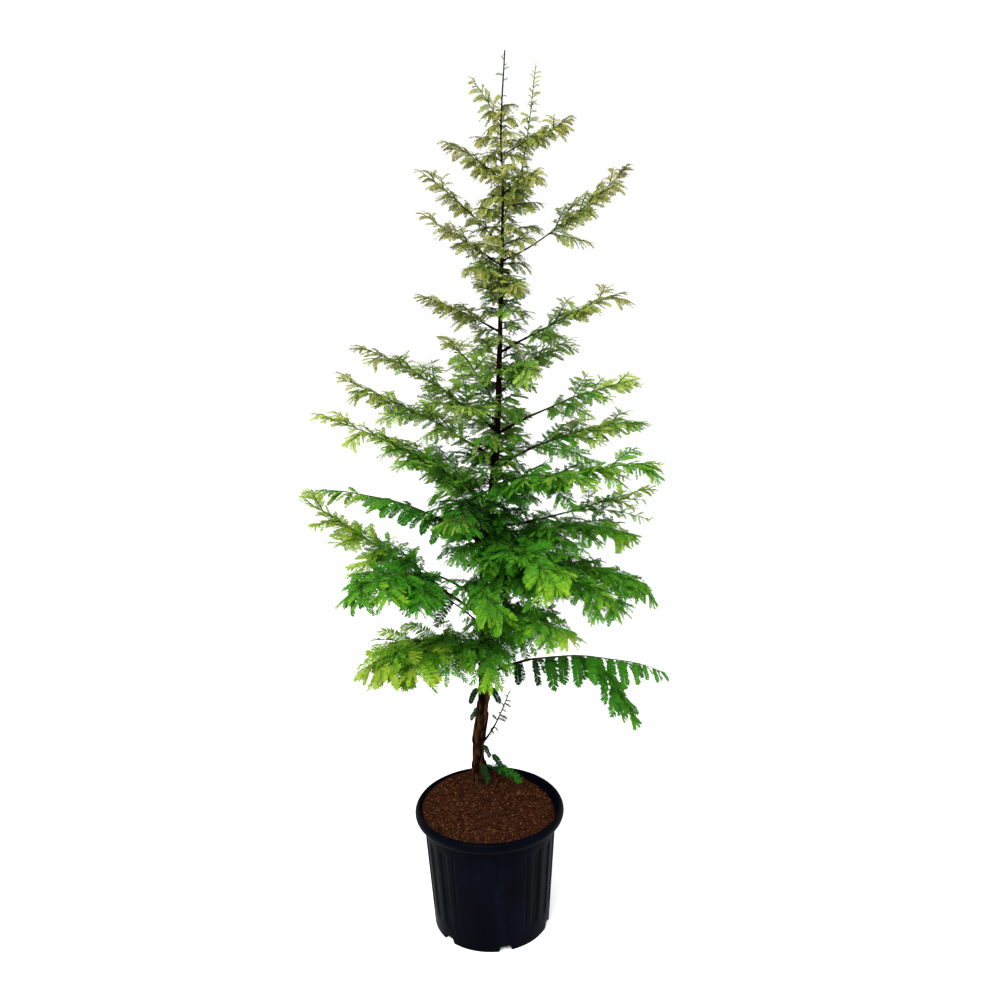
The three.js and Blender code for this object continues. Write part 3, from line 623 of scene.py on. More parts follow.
def spray_places(carrier, foliage):
    """Pairs of sprays along a carrier, and one that carries on from its end. Gives each spray's pair,
    its side (1, -1, or 0 at the end), and its share of the length that bears sprays."""
    middle = carrier.path[:, 2].mean()
    pitch = foliage.pair_pitch * spray_size(foliage, middle)[0] * carrier.gap
    pitch *= (1 + STEEP_APART * carrier.steep) * np.interp(middle, OPEN_HEIGHT, PAIR_OPEN)
    single = carrier.start == 1
    count = 0 if single else max(LEAST_PAIRS, round(path_length(carrier.path) * (1 - carrier.start) / pitch))
    pair = np.append(np.repeat(np.arange(count), 2), count)
    half = np.append(np.tile([1.0, -1.0], count), 0.0)
    scatter = PAIR_SCATTER if carrier.steep == 0 else STEEP_SCATTER
    place = pair + PAIR_FIRST + PAIR_LAG * (half < 0)
    place = place + scatter * chance(carrier.number * PAIR_ROOM + pair, half, 4)
    u = np.clip(place / max(count, 1), 0, 1) ** (1 - STEEP_CROWD * min(1.0, carrier.steep))
    u[-1] = 1.0
    return pair, half, u


def spray_light(carrier, root, age, key, half):
    """How light sprays are: more so high in the crown and on young wood, with the carrier's tone, that
    of its end far from the trunk, a patch of the crown, and chance."""
    height = root[:, 2]
    out = np.linalg.norm((root - trunk_at(height))[:, :2], axis=1)
    tone = carrier.tone + carrier.tips * smooth_step(*OUTER, out)
    light = LIGHT_LEAST + LIGHT_CROWN * crown_share(height) + LIGHT_AGE * age**LIGHT_CURVE + tone
    patch = patches(root[:, 0], height, PATCH_WIDE, 10)
    return light + (toss(LIGHT_CHANCE, key, half, 11) + LIGHT_PATCH * patch)


def sprays_on(carrier, foliage):
    """The sprays of a carrier. They turn up and down about it by chance, or in a spiral where it is
    upright. Their size follows the height in the crown, shrinks to the carrier's end, and varies by
    chance."""
    pair, half, u = spray_places(carrier, foliage)
    key = carrier.number * PAIR_ROOM + pair
    single = len(pair) == 1
    root, forward = along_path(carrier.path, carrier.start + (1 - carrier.start) * u)
    height = root[:, 2]
    level = np.cross(forward, UP)
    flat = np.linalg.norm(level, axis=1, keepdims=True) > LEVEL_LEAST
    level = normalized(np.where(flat, level, [1.0, 0.0, 0.0]))
    lift = np.cross(level, forward)
    upright = np.abs(forward[:, 2]) > UPRIGHT_RISE
    around = np.interp(height, TURN_HEIGHT, SPRAY_SET)
    around += toss(np.interp(height, TURN_HEIGHT, SPRAY_TURN), key, half, 5)
    spiral = SPIRAL_TURN * pair + SPIRAL_LOOSE * chance(key, half, 5)
    turn = np.zeros((1, 1)) if single else np.where(upright, spiral, around)[:, None]
    sign = np.where(half == 0, 1.0, half)[:, None]
    sideways = sign * np.cos(turn) * level + np.where(upright[:, None], sign, 1.0) * np.sin(turn) * lift
    age = np.full(1, carrier.age) if single else blend(carrier.age, carrier.prime, u)
    young = smooth_step(*YOUNG_AGE, age)
    lean = np.interp(height, TURN_HEIGHT, SPRAY_LEAN) - YOUNG_LEAN * young
    lean = np.where(half == 0, 0.0, np.radians(lean + toss(LEAN_VARIES_BY, key, half, 6)))
    slope, bend = (np.interp(height, HANG_HEIGHT, by) for by in (HANG_SLOPE, HANG_BEND))
    droop = carrier.hang * slope * chance_from(*DROOP_VARIES, key, half, 7)
    droop *= np.where(half == 0, END_DROOP, 1.0) * (1 - YOUNG_STIFF * young * min(1.0, carrier.steep))
    bend *= chance_from(*DROOP_VARIES, key, half, 12)
    bend *= 0.5 + 0.5 * min(1.0, carrier.hang)
    roll = carrier.roll + toss(ROLL_VARIES_BY, key, half, 8)
    along, across = lay_sprays(forward, sideways, lean, droop, roll)
    grow = np.ones(1) if single else np.interp(u, GROW_AT, GROW_SHARE)
    grow *= carrier.scale * chance_from(*SPRAY_VARIES, key, half, 9)
    long, wide = spray_size(foliage, height)
    return Sprays(
        root=root,
        along=along,
        across=across,
        long=grow * long / np.linalg.norm(along - bend[:, None] * UP, axis=1),
        wide=grow * wide * (1 - YOUNG_SLIM * young),
        curl=bend,
        broad=np.full(len(u), carrier.broad),
        young=young,
        light=spray_light(carrier, root, age, key, half),
        owner=np.full(len(u), carrier.owner),
        number=key * SIDE_ROOM + half + 1,
    )


def twigs_on(stem, bough, foliage):
    """Side twigs of a bough, on alternate sides. A twig forks off, is shorter towards the bough's tip,
    and bends down by its length squared."""
    middle = stem.path[:, 2].mean()
    pitch = foliage.twig_pitch * spray_size(foliage, middle)[0] * stem.gap
    pitch *= np.interp(middle, OPEN_HEIGHT, TWIG_OPEN)
    count = int(bough.forks * path_length(stem.path) * (1 - stem.start) / pitch)
    if count < 1:
        return []
    twig = np.arange(count)
    place = twig + TWIG_FIRST + TWIG_SCATTER * chance(stem.number, twig, 13)
    u = (place / (count + TWIG_LAST)) ** TWIG_OUTWARD
    root, forward = along_path(stem.path, stem.start + (1 - stem.start) * u)
    level = normalized(np.cross(forward, UP))
    sign = np.where((twig + stem.number) % 2, 1.0, -1.0)[:, None]
    fork = (FORK * chance_from(*FORK_VARIES, stem.number, twig, 14))[:, None]
    turn = np.interp(root[:, 2], TURN_HEIGHT, TWIG_TURN)
    tilt = (TWIG_LIFT + toss(turn, stem.number, twig, 15))[:, None]
    aside = sign * np.cos(tilt) * level + np.sin(tilt) * np.cross(level, forward)
    along = np.cos(fork) * forward + np.sin(fork) * aside
    long = MM * bough.reach * blend(*TWIG_REACH, u) * chance_from(*TWIG_VARIES, stem.number, twig, 16)
    sag = TWIG_SAG * (1 - crown_share(root[:, 2])) ** SAG_CURVE
    s = np.linspace(0, 1, TWIG_POINTS)[None, :, None]
    reach = long[:, None, None]
    paths = root[:, None] + along[:, None] * reach * s - UP * reach * sag[:, None, None] * s * s
    age = stem.age + (1 - stem.age) * u
    prime = blend(age, 1, TWIG_PRIME)
    common = stem._replace(start=TWIG_BARE, scale=TWIG_SPRAYS * stem.scale)
    first = stem.number * TWIG_ROOM + 1
    return [
        common._replace(path=path, number=first + i, age=age[i], prime=prime[i])
        for i, path in enumerate(paths)
    ]


def weeping_twig(stem):
    """A fork that leaves its bough level and bends down, partly by its length and partly by its
    square."""
    root, forward = along_path(stem.path, np.array([WEEPER_FROM]))
    s = np.linspace(0, 1, TWIG_POINTS)[:, None]
    drop = WEEPER_DROP * (WEEPER_SLOPE * s + WEEPER_BEND * s * s)
    path = root + forward * [1, 1, 0] * WEEPER_REACH * s - UP * drop
    number = stem.number * TWIG_ROOM + WEEPER_NUMBER
    return stem._replace(
        path=path, number=number, start=0.15, age=0.3, tone=-0.12, scale=0.72, gap=0.75, hang=0.5
    )


def outward(foot, heading, long, rise, sag):
    """Paths of twigs that leave the trunk: straight out and up by rise, bent down by sag times the share
    squared."""
    s = np.linspace(0, 1, TWIG_POINTS)[None, :, None]
    out = np.stack([np.cos(heading), np.sin(heading), rise], axis=-1)[:, None]
    return foot[:, None] + long[:, None, None] * (out * s - UP * sag * s * s)


def leader():
    """The trunk's top, which bears sprays itself under a nearly bare spire."""
    lower = trunk_at(np.linspace(LEADER_FOOT, SPIRE_FOOT, STEM_POINTS))
    spire = trunk_at(np.linspace(SPIRE_FOOT, TRUNK_AXIS[-1, 2], STEM_POINTS))
    return [
        Carrier(lower, 0, LEADER_NUMBER, age=0.35, scale=0.8, gap=0.7),
        Carrier(spire, 0, SPIRE_NUMBER, age=0.2, tone=-0.4, scale=0.4, gap=2.2),
    ]


def short_shoots(foliage):
    """Short shoots straight on the trunk, each a fixed turn round it from the last, closer together low
    down. None grows where the trunk shows."""
    count = int((SHOOTS_TO - SHOOTS_FROM) / foliage.shoot_pitch)
    shoot = np.arange(count)
    share = ((shoot + chance(901, shoot, 17)) / count) ** SHOOT_CROWD
    foot = trunk_at(blend(SHOOTS_FROM, SHOOTS_TO, share))
    height = foot[:, 2]
    heading = SPIRAL_TURN * shoot
    long = np.interp(height, SHOOT_HEIGHT, SHOOT_LONG) * chance_from(*SHOOT_VARIES, 903, shoot, 19)
    paths = outward(foot, heading, long, chance_from(*RISE_VARIES, 902, shoot, 18), SHOOT_SAG)
    low, high = BARE_FRONT
    grown = (np.sin(heading) > FRONT_SIDE) | (height < low) | (height > high)
    grown &= (np.cos(heading) > LEFT_SIDE) | (height > BARE_LEFT)
    common = Carrier(None, 0, 0, start=0.2, age=0.1, tone=-0.05, scale=0.9, gap=0.9, prime=0.75)
    on_leader = common._replace(tone=0.02, gap=0.68)
    return [
        (on_leader if height[i] > LEADER_FOOT else common)._replace(path=paths[i], number=SHOOT_NUMBER + i)
        for i in shoot[grown]
    ]


def single_sprays():
    """Single sprays on short twigs, where the trunk is nearly bare, made dark by a low tone that is painted
    shade.
    """
    height, heading, long, size, roll, hang = np.array(SINGLE_SPRAYS).T
    height = MM * height
    reach = MM * long + trunk_radius(height)
    paths = outward(trunk_at(height), np.radians(heading), reach, 0 * long, SINGLE_SAG)
    # Painted shade: the low tone gives these sprays the darkest tints
    common = Carrier(None, 0, 0, start=1.0, age=0.2, tone=-0.45, broad=1.4)
    return [
        common._replace(
            path=path, number=SINGLE_NUMBER + i, scale=size[i], hang=hang[i], roll=math.radians(roll[i])
        )
        for i, path in enumerate(paths)
    ]


class Tree(NamedTuple):
    """All that grows on the trunk."""

    stems: list  # carriers of the boughs and sprouts
    radii: list  # radius along each stem
    twigs: list  # carriers of the side twigs and shoots
    sprays: Sprays


def node_of(owner):
    """Name of the CAD mass that a bough's sprays stand for."""
    return f"foliage_{owner:02d}" if owner <= len(BOUGHS) else list(SPROUTS)[owner - len(BOUGHS) - 1]


def clear_of_wood(sprays):
    """True for sprays whose tips keep out of the trunk and the mix, and inside the part's box."""
    tip = sprays.root + sprays.along * sprays.long[:, None] - UP * (sprays.curl * sprays.long)[:, None]
    axis = trunk_at(tip[:, 2])
    away = np.hypot(tip[:, 0] - axis[:, 0], tip[:, 1] - axis[:, 1])
    low, high = (np.array(corner) for corner in CAD_BOX)
    in_box = np.all((tip > low - BOX_SLACK) & (tip < high + BOX_SLACK), axis=1)
    above = tip[:, 2] > mix_height(tip[:, 0], tip[:, 1]) + MIX_CLEAR
    return (away > trunk_radius(tip[:, 2]) + TRUNK_CLEAR) & above & in_box


def grow_tree(foliage):
    """The whole crown by the seeded rule: boughs from the trunk, side twigs, and sprays on all of
    them."""
    plans = [(bough, OWN_WAY.get(i, Way())) for i, bough in enumerate(BOUGHS, 1)]
    stems, radii, twigs = [], [], []
    for number, (bough, way) in enumerate([*plans, *SPROUTS.values()], 1):
        single = bough.bare == 1
        short = (SINGLE_SHORT if single else END_SHORT) * way.scale
        last = short * spray_size(foliage, MM * (bough.height + bough.rise))[0]
        end = 1 - last / (MM * math.hypot(bough.reach, bough.rise, bough.arch))
        stem = Carrier(
            path=bough_path(bough, number, end),
            owner=number,
            number=number,
            start=bough.bare,
            tone=bough.tone,
            hang=bough.hang,
            roll=SPROUT_ROLL if single else 0.0,
            **way._asdict(),
        )
        stems.append(stem)
        stout = 1.0 if number <= len(BOUGHS) else SPROUT_STOUT
        radii.append(stout * bough_radius(bough, np.linspace(0, end, STEM_POINTS)))
        twigs += twigs_on(stem, bough, foliage)
        if number == WEEPER_BOUGH:
            twigs.append(weeping_twig(stem))
    twigs += short_shoots(foliage) + single_sprays()
    groups = [sprays_on(carrier, foliage) for carrier in [*stems, *twigs, *leader()]]
    sprays = Sprays(*(np.concatenate(field) for field in zip(*groups)))
    return Tree(stems, radii, twigs, pick(sprays, clear_of_wood(sprays)))


# Meshes


def ring_faces(rows, sides):
    """Triangles of a closed skin over rows of rings, with a pole after the last ring point for each
    end."""
    i, k = (grid.ravel() for grid in np.meshgrid(np.arange(rows - 1), np.arange(sides), indexing="ij"))
    after = (k + 1) % sides
    a, b, c, d = i * sides + k, i * sides + after, (i + 1) * sides + after, (i + 1) * sides + k
    around = np.arange(sides)
    ahead = (around + 1) % sides
    foot, top = rows * sides, rows * sides + 1
    last = (rows - 1) * sides
    return np.concatenate([
        np.stack([a, b, c], axis=1),
        np.stack([a, c, d], axis=1),
        np.stack([np.full(sides, foot), ahead, around], axis=1),
        np.stack([np.full(sides, top), last + around, last + ahead], axis=1),
    ])


def repeated(faces, points, copies):
    """The same faces for each of several copies of a set of points."""
    return (faces[None] + points * np.arange(copies)[:, None, None]).reshape(-1, 3)


def tubes(paths, radii, sides, pointed=False):
    """Closed round tubes along many paths at once. A ring point is path + radius (cos a across + sin a
    lift), with across level and lift square to it and to the path. A pole closes each end, and a pointed
    tube has no ring at its path's last point."""
    copies = len(paths)
    tangent = normalized(np.gradient(paths, axis=1))
    level = np.cross(tangent, UP)
    level = np.where(np.linalg.norm(level, axis=-1, keepdims=True) > 1e-3, level, [1.0, 0.0, 0.0])
    lift = normalized(np.cross(tangent, level))
    across = np.cross(lift, tangent)
    angle = 2 * np.pi * np.arange(sides) / sides
    spread = np.cos(angle)[:, None] * across[:, :, None] + np.sin(angle)[:, None] * lift[:, :, None]
    rings = paths[:, :, None] + radii.reshape(*paths.shape[:2], -1, 1) * spread
    rings = rings[:, :-1] if pointed else rings
    rows = rings.shape[1]
    points = np.concatenate([rings.reshape(copies, -1, 3), paths[:, :1], paths[:, -1:]], axis=1)
    return points.reshape(-1, 3), repeated(ring_faces(rows, sides), points.shape[1], copies)


def put_piece(name, points, faces, material, smooth=True, values=None):
    """Makes a piece of the object from arrays of points and faces, with named values at its points."""
    mesh = bpy.data.meshes.new(name)
    mesh.vertices.add(len(points))
    mesh.vertices.foreach_set("co", np.ascontiguousarray(points, np.float32).ravel())
    mesh.loops.add(faces.size)
    mesh.loops.foreach_set("vertex_index", np.ascontiguousarray(faces, np.int32).ravel())
    mesh.polygons.add(len(faces))
    mesh.polygons.foreach_set("loop_start", np.arange(0, faces.size, faces.shape[1], dtype=np.int32))
    mesh.polygons.foreach_set("use_smooth", np.full(len(faces), smooth))
    mesh.update(calc_edges=True)
    for key, value in (values or {}).items():
        attribute = mesh.attributes.new(key, "FLOAT", "POINT")
        attribute.data.foreach_set("value", np.ascontiguousarray(value, np.float32).ravel())
    if mesh.validate():
        raise RuntimeError(f"{name} has faulty faces")
    mesh.materials.append(material)
    made = bpy.data.objects.new(name, mesh)
    bpy.context.scene.collection.objects.link(made)
    return made


def settle(piece, slot, *nodes):
    """Lets a piece ride on the part and stand for its solids, which it hides. Its slot is not used."""
    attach(piece, BODY)
    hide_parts(*nodes)


# Finishes


class Finish:
    """A material whose shader is worked out from object coordinates or a piece's own values."""

    def __init__(self, name, roughness=0.6, specular=0.3):
        self.material = bpy.data.materials.new(name)
        self.material.use_nodes = True
        self.tree = self.material.node_tree
        self.shader = self.tree.nodes["Principled BSDF"]
        self.shader.inputs["Roughness"].default_value = roughness
        self.shader.inputs["Specular IOR Level"].default_value = specular

    def join(self, source, target):
        """Links one node's output to another's input."""
        self.tree.links.new(source, target)

    def noise(self, scale, detail=4.0, stretch=(1.0, 1.0, 1.0)):
        """Noise over the object, finer as scale grows, drawn out along an axis where stretch is
        small."""
        place = self.tree.nodes.new("ShaderNodeTexCoord")
        mapping = self.tree.nodes.new("ShaderNodeMapping")
        mapping.inputs["Scale"].default_value = stretch
        made = self.tree.nodes.new("ShaderNodeTexNoise")
        made.inputs["Scale"].default_value = scale
        made.inputs["Detail"].default_value = detail
        self.join(place.outputs["Object"], mapping.inputs["Vector"])
        self.join(mapping.outputs["Vector"], made.inputs["Vector"])
        return made.outputs["Fac"]

    def value(self, name):
        """A value that the mesh holds at its points."""
        made = self.tree.nodes.new("ShaderNodeAttribute")
        made.attribute_name = name
        return made.outputs["Fac"]

    def sum(self, first, second, share):
        """first plus share times second."""
        made = self.tree.nodes.new("ShaderNodeMath")
        made.operation = "MULTIPLY_ADD"
        made.inputs[1].default_value = share
        self.join(second, made.inputs[0])
        self.join(first, made.inputs[2])
        return made.outputs["Value"]

    def ramp(self, factor, stops):
        """Colours at places from 0 to 1, blended between."""
        made = self.tree.nodes.new("ShaderNodeValToRGB")
        ramp = made.color_ramp
        while len(ramp.elements) < len(stops):
            ramp.elements.new(0.5)
        for element, (place, colour) in zip(ramp.elements, stops):
            element.position = place
            element.color = (*colour, 1.0)
        self.join(factor, made.inputs["Fac"])
        return made.outputs["Color"]

    def colour(self, socket):
        """Takes the base colour from a node."""
        self.join(socket, self.shader.inputs["Base Color"])

    def roughness(self, factor, low, high):
        """Roughness from low to high over the middle of a factor's range."""
        grey = self.ramp(factor, [(0.3, (low,) * 3), (0.7, (high,) * 3)])
        self.join(grey, self.shader.inputs["Roughness"])

    def bump(self, height, strength, distance):
        """Tilts the surface's shading by a height."""
        made = self.tree.nodes.new("ShaderNodeBump")
        made.inputs["Strength"].default_value = strength
        made.inputs["Distance"].default_value = distance
        self.join(height, made.inputs["Height"])
        self.join(made.outputs["Normal"], self.shader.inputs["Normal"])


def tinted(colour, factor):
    """A colour made lighter or darker by a factor."""
    return tuple(min(1.0, factor * part) for part in colour)


def pot_plastic(pot):
    """Black moulded plastic: satin, with handling marks drawn downwards and a little dust."""
    made = Finish("pot_plastic", specular=0.010)
    smudge = made.noise(scale=11, detail=6)
    streak = made.noise(scale=60, stretch=(1.0, 1.0, 0.06))
    marks = made.sum(smudge, streak, share=0.5)
    black = tuple(pot.colour)
    made.colour(made.ramp(marks, [(0.55, black), (0.85, tinted(black, 1.7)), (1.0, tinted(black, 3.2))]))
    made.roughness(marks, low=0.28, high=0.46)
    made.bump(made.noise(scale=420, detail=2), strength=0.06, distance=0.4 * MM)
    return made.material


def mix_finish(name, colour):
    """Damp crumbs of bark and peat: one brown, darker in patches, and dull."""
    made = Finish(name, roughness=0.95, specular=0.01)
    grain = made.noise(scale=180, detail=5)
    made.colour(made.ramp(grain, [(0.3, tinted(colour, 0.45)), (0.5, colour), (0.72, tinted(colour, 1.45))]))
    made.bump(made.noise(scale=700, detail=3), strength=0.5, distance=1 * MM)
    return made.material


def trunk_bark(bark):
    """Red-brown bark that peels in upright strips: near black in the clefts, paler on the raised
    flakes."""
    made = Finish("bark", roughness=0.9, specular=0.005)
    fibre = made.noise(scale=260, detail=6, stretch=(1.0, 1.0, 0.12))
    blotch = made.noise(scale=150, detail=5, stretch=(1.0, 1.0, 0.4))
    # The relief held at the points is lowered above the old bark, which darkens the bark there, partly as
    # painted shade of the crown
    cover = made.sum(blotch, made.value("relief"), share=0.35)
    cover = made.sum(cover, fibre, share=0.2)
    made.colour(made.ramp(cover, [
        (0.62, tuple(bark.cleft)),
        (0.75, tuple(bark.strip)),
        (0.88, tuple(bark.flake)),
        (1.0, tinted(bark.flake, 1.7)),
    ]))
    made.bump(fibre, strength=0.55, distance=1.2 * MM)
    return made.material


def bough_bark(bark):
    """Bough bark: dark and rough near the trunk, red-brown further out, and olive on the year's
    growth."""
    made = Finish("bough_bark", roughness=0.8, specular=0.02)
    grain = made.noise(scale=340, detail=5)
    place = made.sum(made.value("along"), grain, share=0.25)
    made.colour(made.ramp(place, [
        (0.05, tuple(bark.cleft)),
        (0.35, tinted(bark.strip, 0.6)),
        (0.62, tuple(bark.shoot)),
        (1.0, tinted(bark.shoot, 1.8)),
    ]))
    made.bump(grain, strength=0.4, distance=0.6 * MM)
    return made.material


def shoot_finish(name, colour):
    """Thin wood of the year, one colour with a fine grain."""
    made = Finish(name, roughness=0.7, specular=0.02)
    grain = made.noise(scale=500, detail=3)
    made.colour(made.ramp(grain, [(0.3, tinted(colour, 0.6)), (0.7, tinted(colour, 1.2))]))
    return made.material


def needle_finish(name, colour):
    """Needles of one tint: a plain colour under a thin waxy sheen."""
    made = Finish(name, roughness=0.6, specular=0.012)
    made.shader.inputs["Base Color"].default_value = (*colour, 1.0)
    return made.material


# Pot


def rounded(corners, radii, steps=5):
    """An open outline with its corners rounded: each is a parabola between the points that lie its
    radius before and after it on its two edges."""
    before = normalized(corners[:-2] - corners[1:-1])
    after = normalized(corners[2:] - corners[1:-1])
    reach = radii[1:-1, None]
    first = (corners[1:-1] + before * reach)[:, None]
    last = (corners[1:-1] + after * reach)[:, None]
    middle = corners[1:-1][:, None]
    w = np.linspace(0, 1, steps)[None, :, None]
    curves = (1 - w) ** 2 * first + 2 * w * (1 - w) * middle + w * w * last
    return np.vstack([corners[:1], curves.reshape(-1, 2), corners[-1:]])


def divided(outline, step):
    """The outline with points added so that none of its edges is longer than step."""
    edges = np.linalg.norm(np.diff(outline, axis=0), axis=1)
    reached = np.concatenate([[0], np.cumsum(edges)])
    parts = np.maximum(1, np.ceil(edges / step)).astype(int)
    cuts = [reached[i] + edges[i] * np.arange(n) / n for i, n in enumerate(parts)]
    places = np.append(np.concatenate(cuts), reached[-1])
    return np.stack([np.interp(places, reached, outline[:, k]) for k in (0, 1)], axis=1)


def inside_radius(height):
    """Inside of the pot: the wall leans out to the collar's foot, then the collar to its lip."""
    wall_foot = FOOT_RADIUS - WALL_THICK - FLOOR_INSET
    radii = [wall_foot, WALL_RADIUS - WALL_THICK, LIP_RADIUS]
    return np.interp(height, [FLOOR, COLLAR_FOOT, POT_HEIGHT], radii)


def pot_outline():
    """The pot's section from the middle of its underside, round the collar, to the middle of its inside
    floor: radius and height in mm at each corner, and how far the corner is rounded."""
    foot, wall, rim, lip = (v / MM for v in (FOOT_RADIUS, WALL_RADIUS, RIM_RADIUS, LIP_RADIUS))
    boss, collar, top = (v / MM for v in (BOSS_RADIUS, COLLAR_FOOT, POT_HEIGHT))
    thick, recess, floor = (v / MM for v in (WALL_THICK, RECESS_DEEP, FLOOR))
    collar_top = top - 6
    behind = float(inside_radius(collar_top * MM)) / MM + thick
    section = MM * np.array([
        (0, 0, 0),
        (boss, 0, 2),
        (boss + 6, recess, 2),
        (foot - 10, recess, 2),
        (foot - FOOT_WIDE / MM, 0, 1),
        (foot, 0, 2),
        (wall, collar - 4, 4),
        (behind, collar_top, 1),
        (rim - 3, collar_top, 1),
        (rim - 3, collar + 10, 2),
        (rim - 7, collar + 4, 1.5),
        (rim - 6, collar, 1),
        (rim - 2, collar + 4, 2),
        (rim, collar + 10, 3),
        (rim - 0.6, top - 8, 2.5),
        (rim - 3.5, top - 2.5, 2),
        (rim - 6, top, 1.6),
        (lip + 2.5, top, 1.6),
        (lip, top - 4, 2),
        (float(inside_radius(COLLAR_FOOT)) / MM, collar, 6),
        (foot - thick - FLOOR_INSET / MM, floor, 4),
        (boss, floor, 2),
        (boss - 6, floor - recess, 2),
        (0, floor - recess, 0),
    ])
    return divided(rounded(section[:, :2], section[:, 2]), SECTION_STEP)


def pot_points(pot, sides=420):
    """The section turned about the axis: x = r sin a, y = -r cos a. Flutes sink the outside of the wall
    in two groups beside a plain front and back, and the foot is lifted where the drain notches are."""
    section = pot_outline()
    outline = section[1:-1]
    radius, height = outline[:, :1], outline[:, 1:]
    angle = 2 * np.pi * np.arange(sides)[None] / sides
    outside = np.arange(len(outline))[:, None] < np.argmax(outline[:, 0])
    to_side = np.abs(np.mod(angle, np.pi) - np.pi / 2)
    groove = np.cos(np.pi * to_side / pot.flute_pitch) ** 2
    groove = smooth_step(*FLUTE_EDGE, groove) * smooth_step(*FLUTE_GROUP, to_side)
    band = smooth_step(*FLUTE_FOOT, height) * smooth_step(*FLUTE_TOP, height)
    sunk = np.where(outside & (radius > WALL_FROM), pot.flute_depth * groove * band, 0.0)
    step = 2 * np.pi / NOTCH_COUNT
    off = np.mod(angle - NOTCH_FIRST + step / 2, step) - step / 2
    notch = smooth_step(NOTCH_WIDE / 2 + NOTCH_EDGE, NOTCH_WIDE / 2 - NOTCH_EDGE, np.abs(off) * FOOT_RADIUS)
    lifted = np.maximum(height, NOTCH_TALL * notch)
    raised = np.where(outside & (radius > FOOT_FROM), lifted, height + 0 * angle)
    r = radius - sunk
    rings = np.stack([r * np.sin(angle), -r * np.cos(angle), raised], axis=-1)
    poles = np.stack([np.zeros(2), np.zeros(2), section[[0, -1], 1]], axis=1)
    return np.vstack([rings.reshape(-1, 3), poles]), ring_faces(len(outline), sides)


# Potting mix


def mix_height(x, y):
    """Top of the mix: a tilted plane with a low mound towards the trunk and a heel close round it."""
    away = np.hypot(x - TRUNK_AXIS[0, 0], y - TRUNK_AXIS[0, 1])
    mound = MOUND_RISE * np.exp(-((away / MOUND_REACH) ** 2))
    heel = HEEL_RISE * np.exp(-((away / HEEL_REACH) ** 2))
    return MIX_LEVEL + MIX_RIGHT * x + MIX_BACK * y + (mound + heel)


def mix_points(sides=180, rings=60):
    """A plug of mix as rings from its underside out to the wall, up, and in over the bumpy top, which is
    calmer at the wall."""
    angle = 2 * np.pi * np.arange(sides)[None] / sides
    share = np.linspace(1, 1 / rings, rings)[:, None]
    spread = inside_radius(MIX_LEVEL) - MIX_GAP
    x, y = spread * share * np.sin(angle), -spread * share * np.cos(angle)
    level = mix_height(x, y)
    fit = (inside_radius(level) - MIX_GAP) / spread
    bumps = patches(x, y, BUMP_WIDE, 21, 50, 50) + FINE_SHARE * patches(x, y, BUMP_FINE, 22, 90, 90)
    calm = np.minimum(1, CALM_GAIN * (1 - share) + CALM_LEAST)
    top = np.stack([x * fit, y * fit, level + BUMP_TALL * bumps * calm], axis=-1)
    bottom = MIX_LEVEL - MIX_DEEP
    under = np.stack([x[0], y[0], np.full(sides, bottom)], axis=-1)[None] * [MIX_UNDER, MIX_UNDER, 1.0]
    points = np.concatenate([under, top])
    poles = [[0, 0, bottom], [0, 0, float(mix_height(0.0, 0.0))]]
    return np.vstack([points.reshape(-1, 3), poles]), ring_faces(rings + 1, sides)


def crumbs(mix, first, count):
    """Chips of bark and peat lying on the mix: stretched octahedra, turned by chance, spread evenly over
    the disc as the root of a chance radius."""
    item = first + np.arange(count)
    heading = 2 * np.pi * chance(item, 1, 23)
    spread = np.sqrt(chance(item, 2, 24)) * (inside_radius(MIX_LEVEL) - CRUMB_KEEP)
    x, y = spread * np.cos(heading), spread * np.sin(heading)
    least, more = CRUMB_VARIES
    size = mix.crumb_size * (least + more * chance(item, 3, 25) ** 3)
    long = chance_from(*CRUMB_LONG_VARIES, item, 4, 26)
    thick = chance_from(*CRUMB_THICK_VARIES, item, 5, 27)
    shape = np.stack([long, np.full(count, CRUMB_BROAD), thick], axis=1)
    lie = normalized(np.stack([toss(1, item, k, 28) for k in (6, 7, 8)], axis=1) * [1, 1, 0.5])
    tilt = normalized(np.stack([toss(1, item, k, 29) for k in (9, 10, 11)], axis=1) * CRUMB_TIP + UP)
    side = normalized(np.cross(tilt, lie))
    turn = np.stack([np.cross(side, tilt), side, tilt], axis=1)
    place = np.stack([x, y, mix_height(x, y) + CRUMB_LIE * size], axis=1)
    corner = CRUMB_POINTS[None] * (0.5 * size[:, None] * shape)[:, None]
    points = place[:, None] + np.einsum("nck,nkj->ncj", corner, turn)
    return points.reshape(-1, 3), repeated(CRUMB_FACES, len(CRUMB_POINTS), count)


# Trunk and boughs


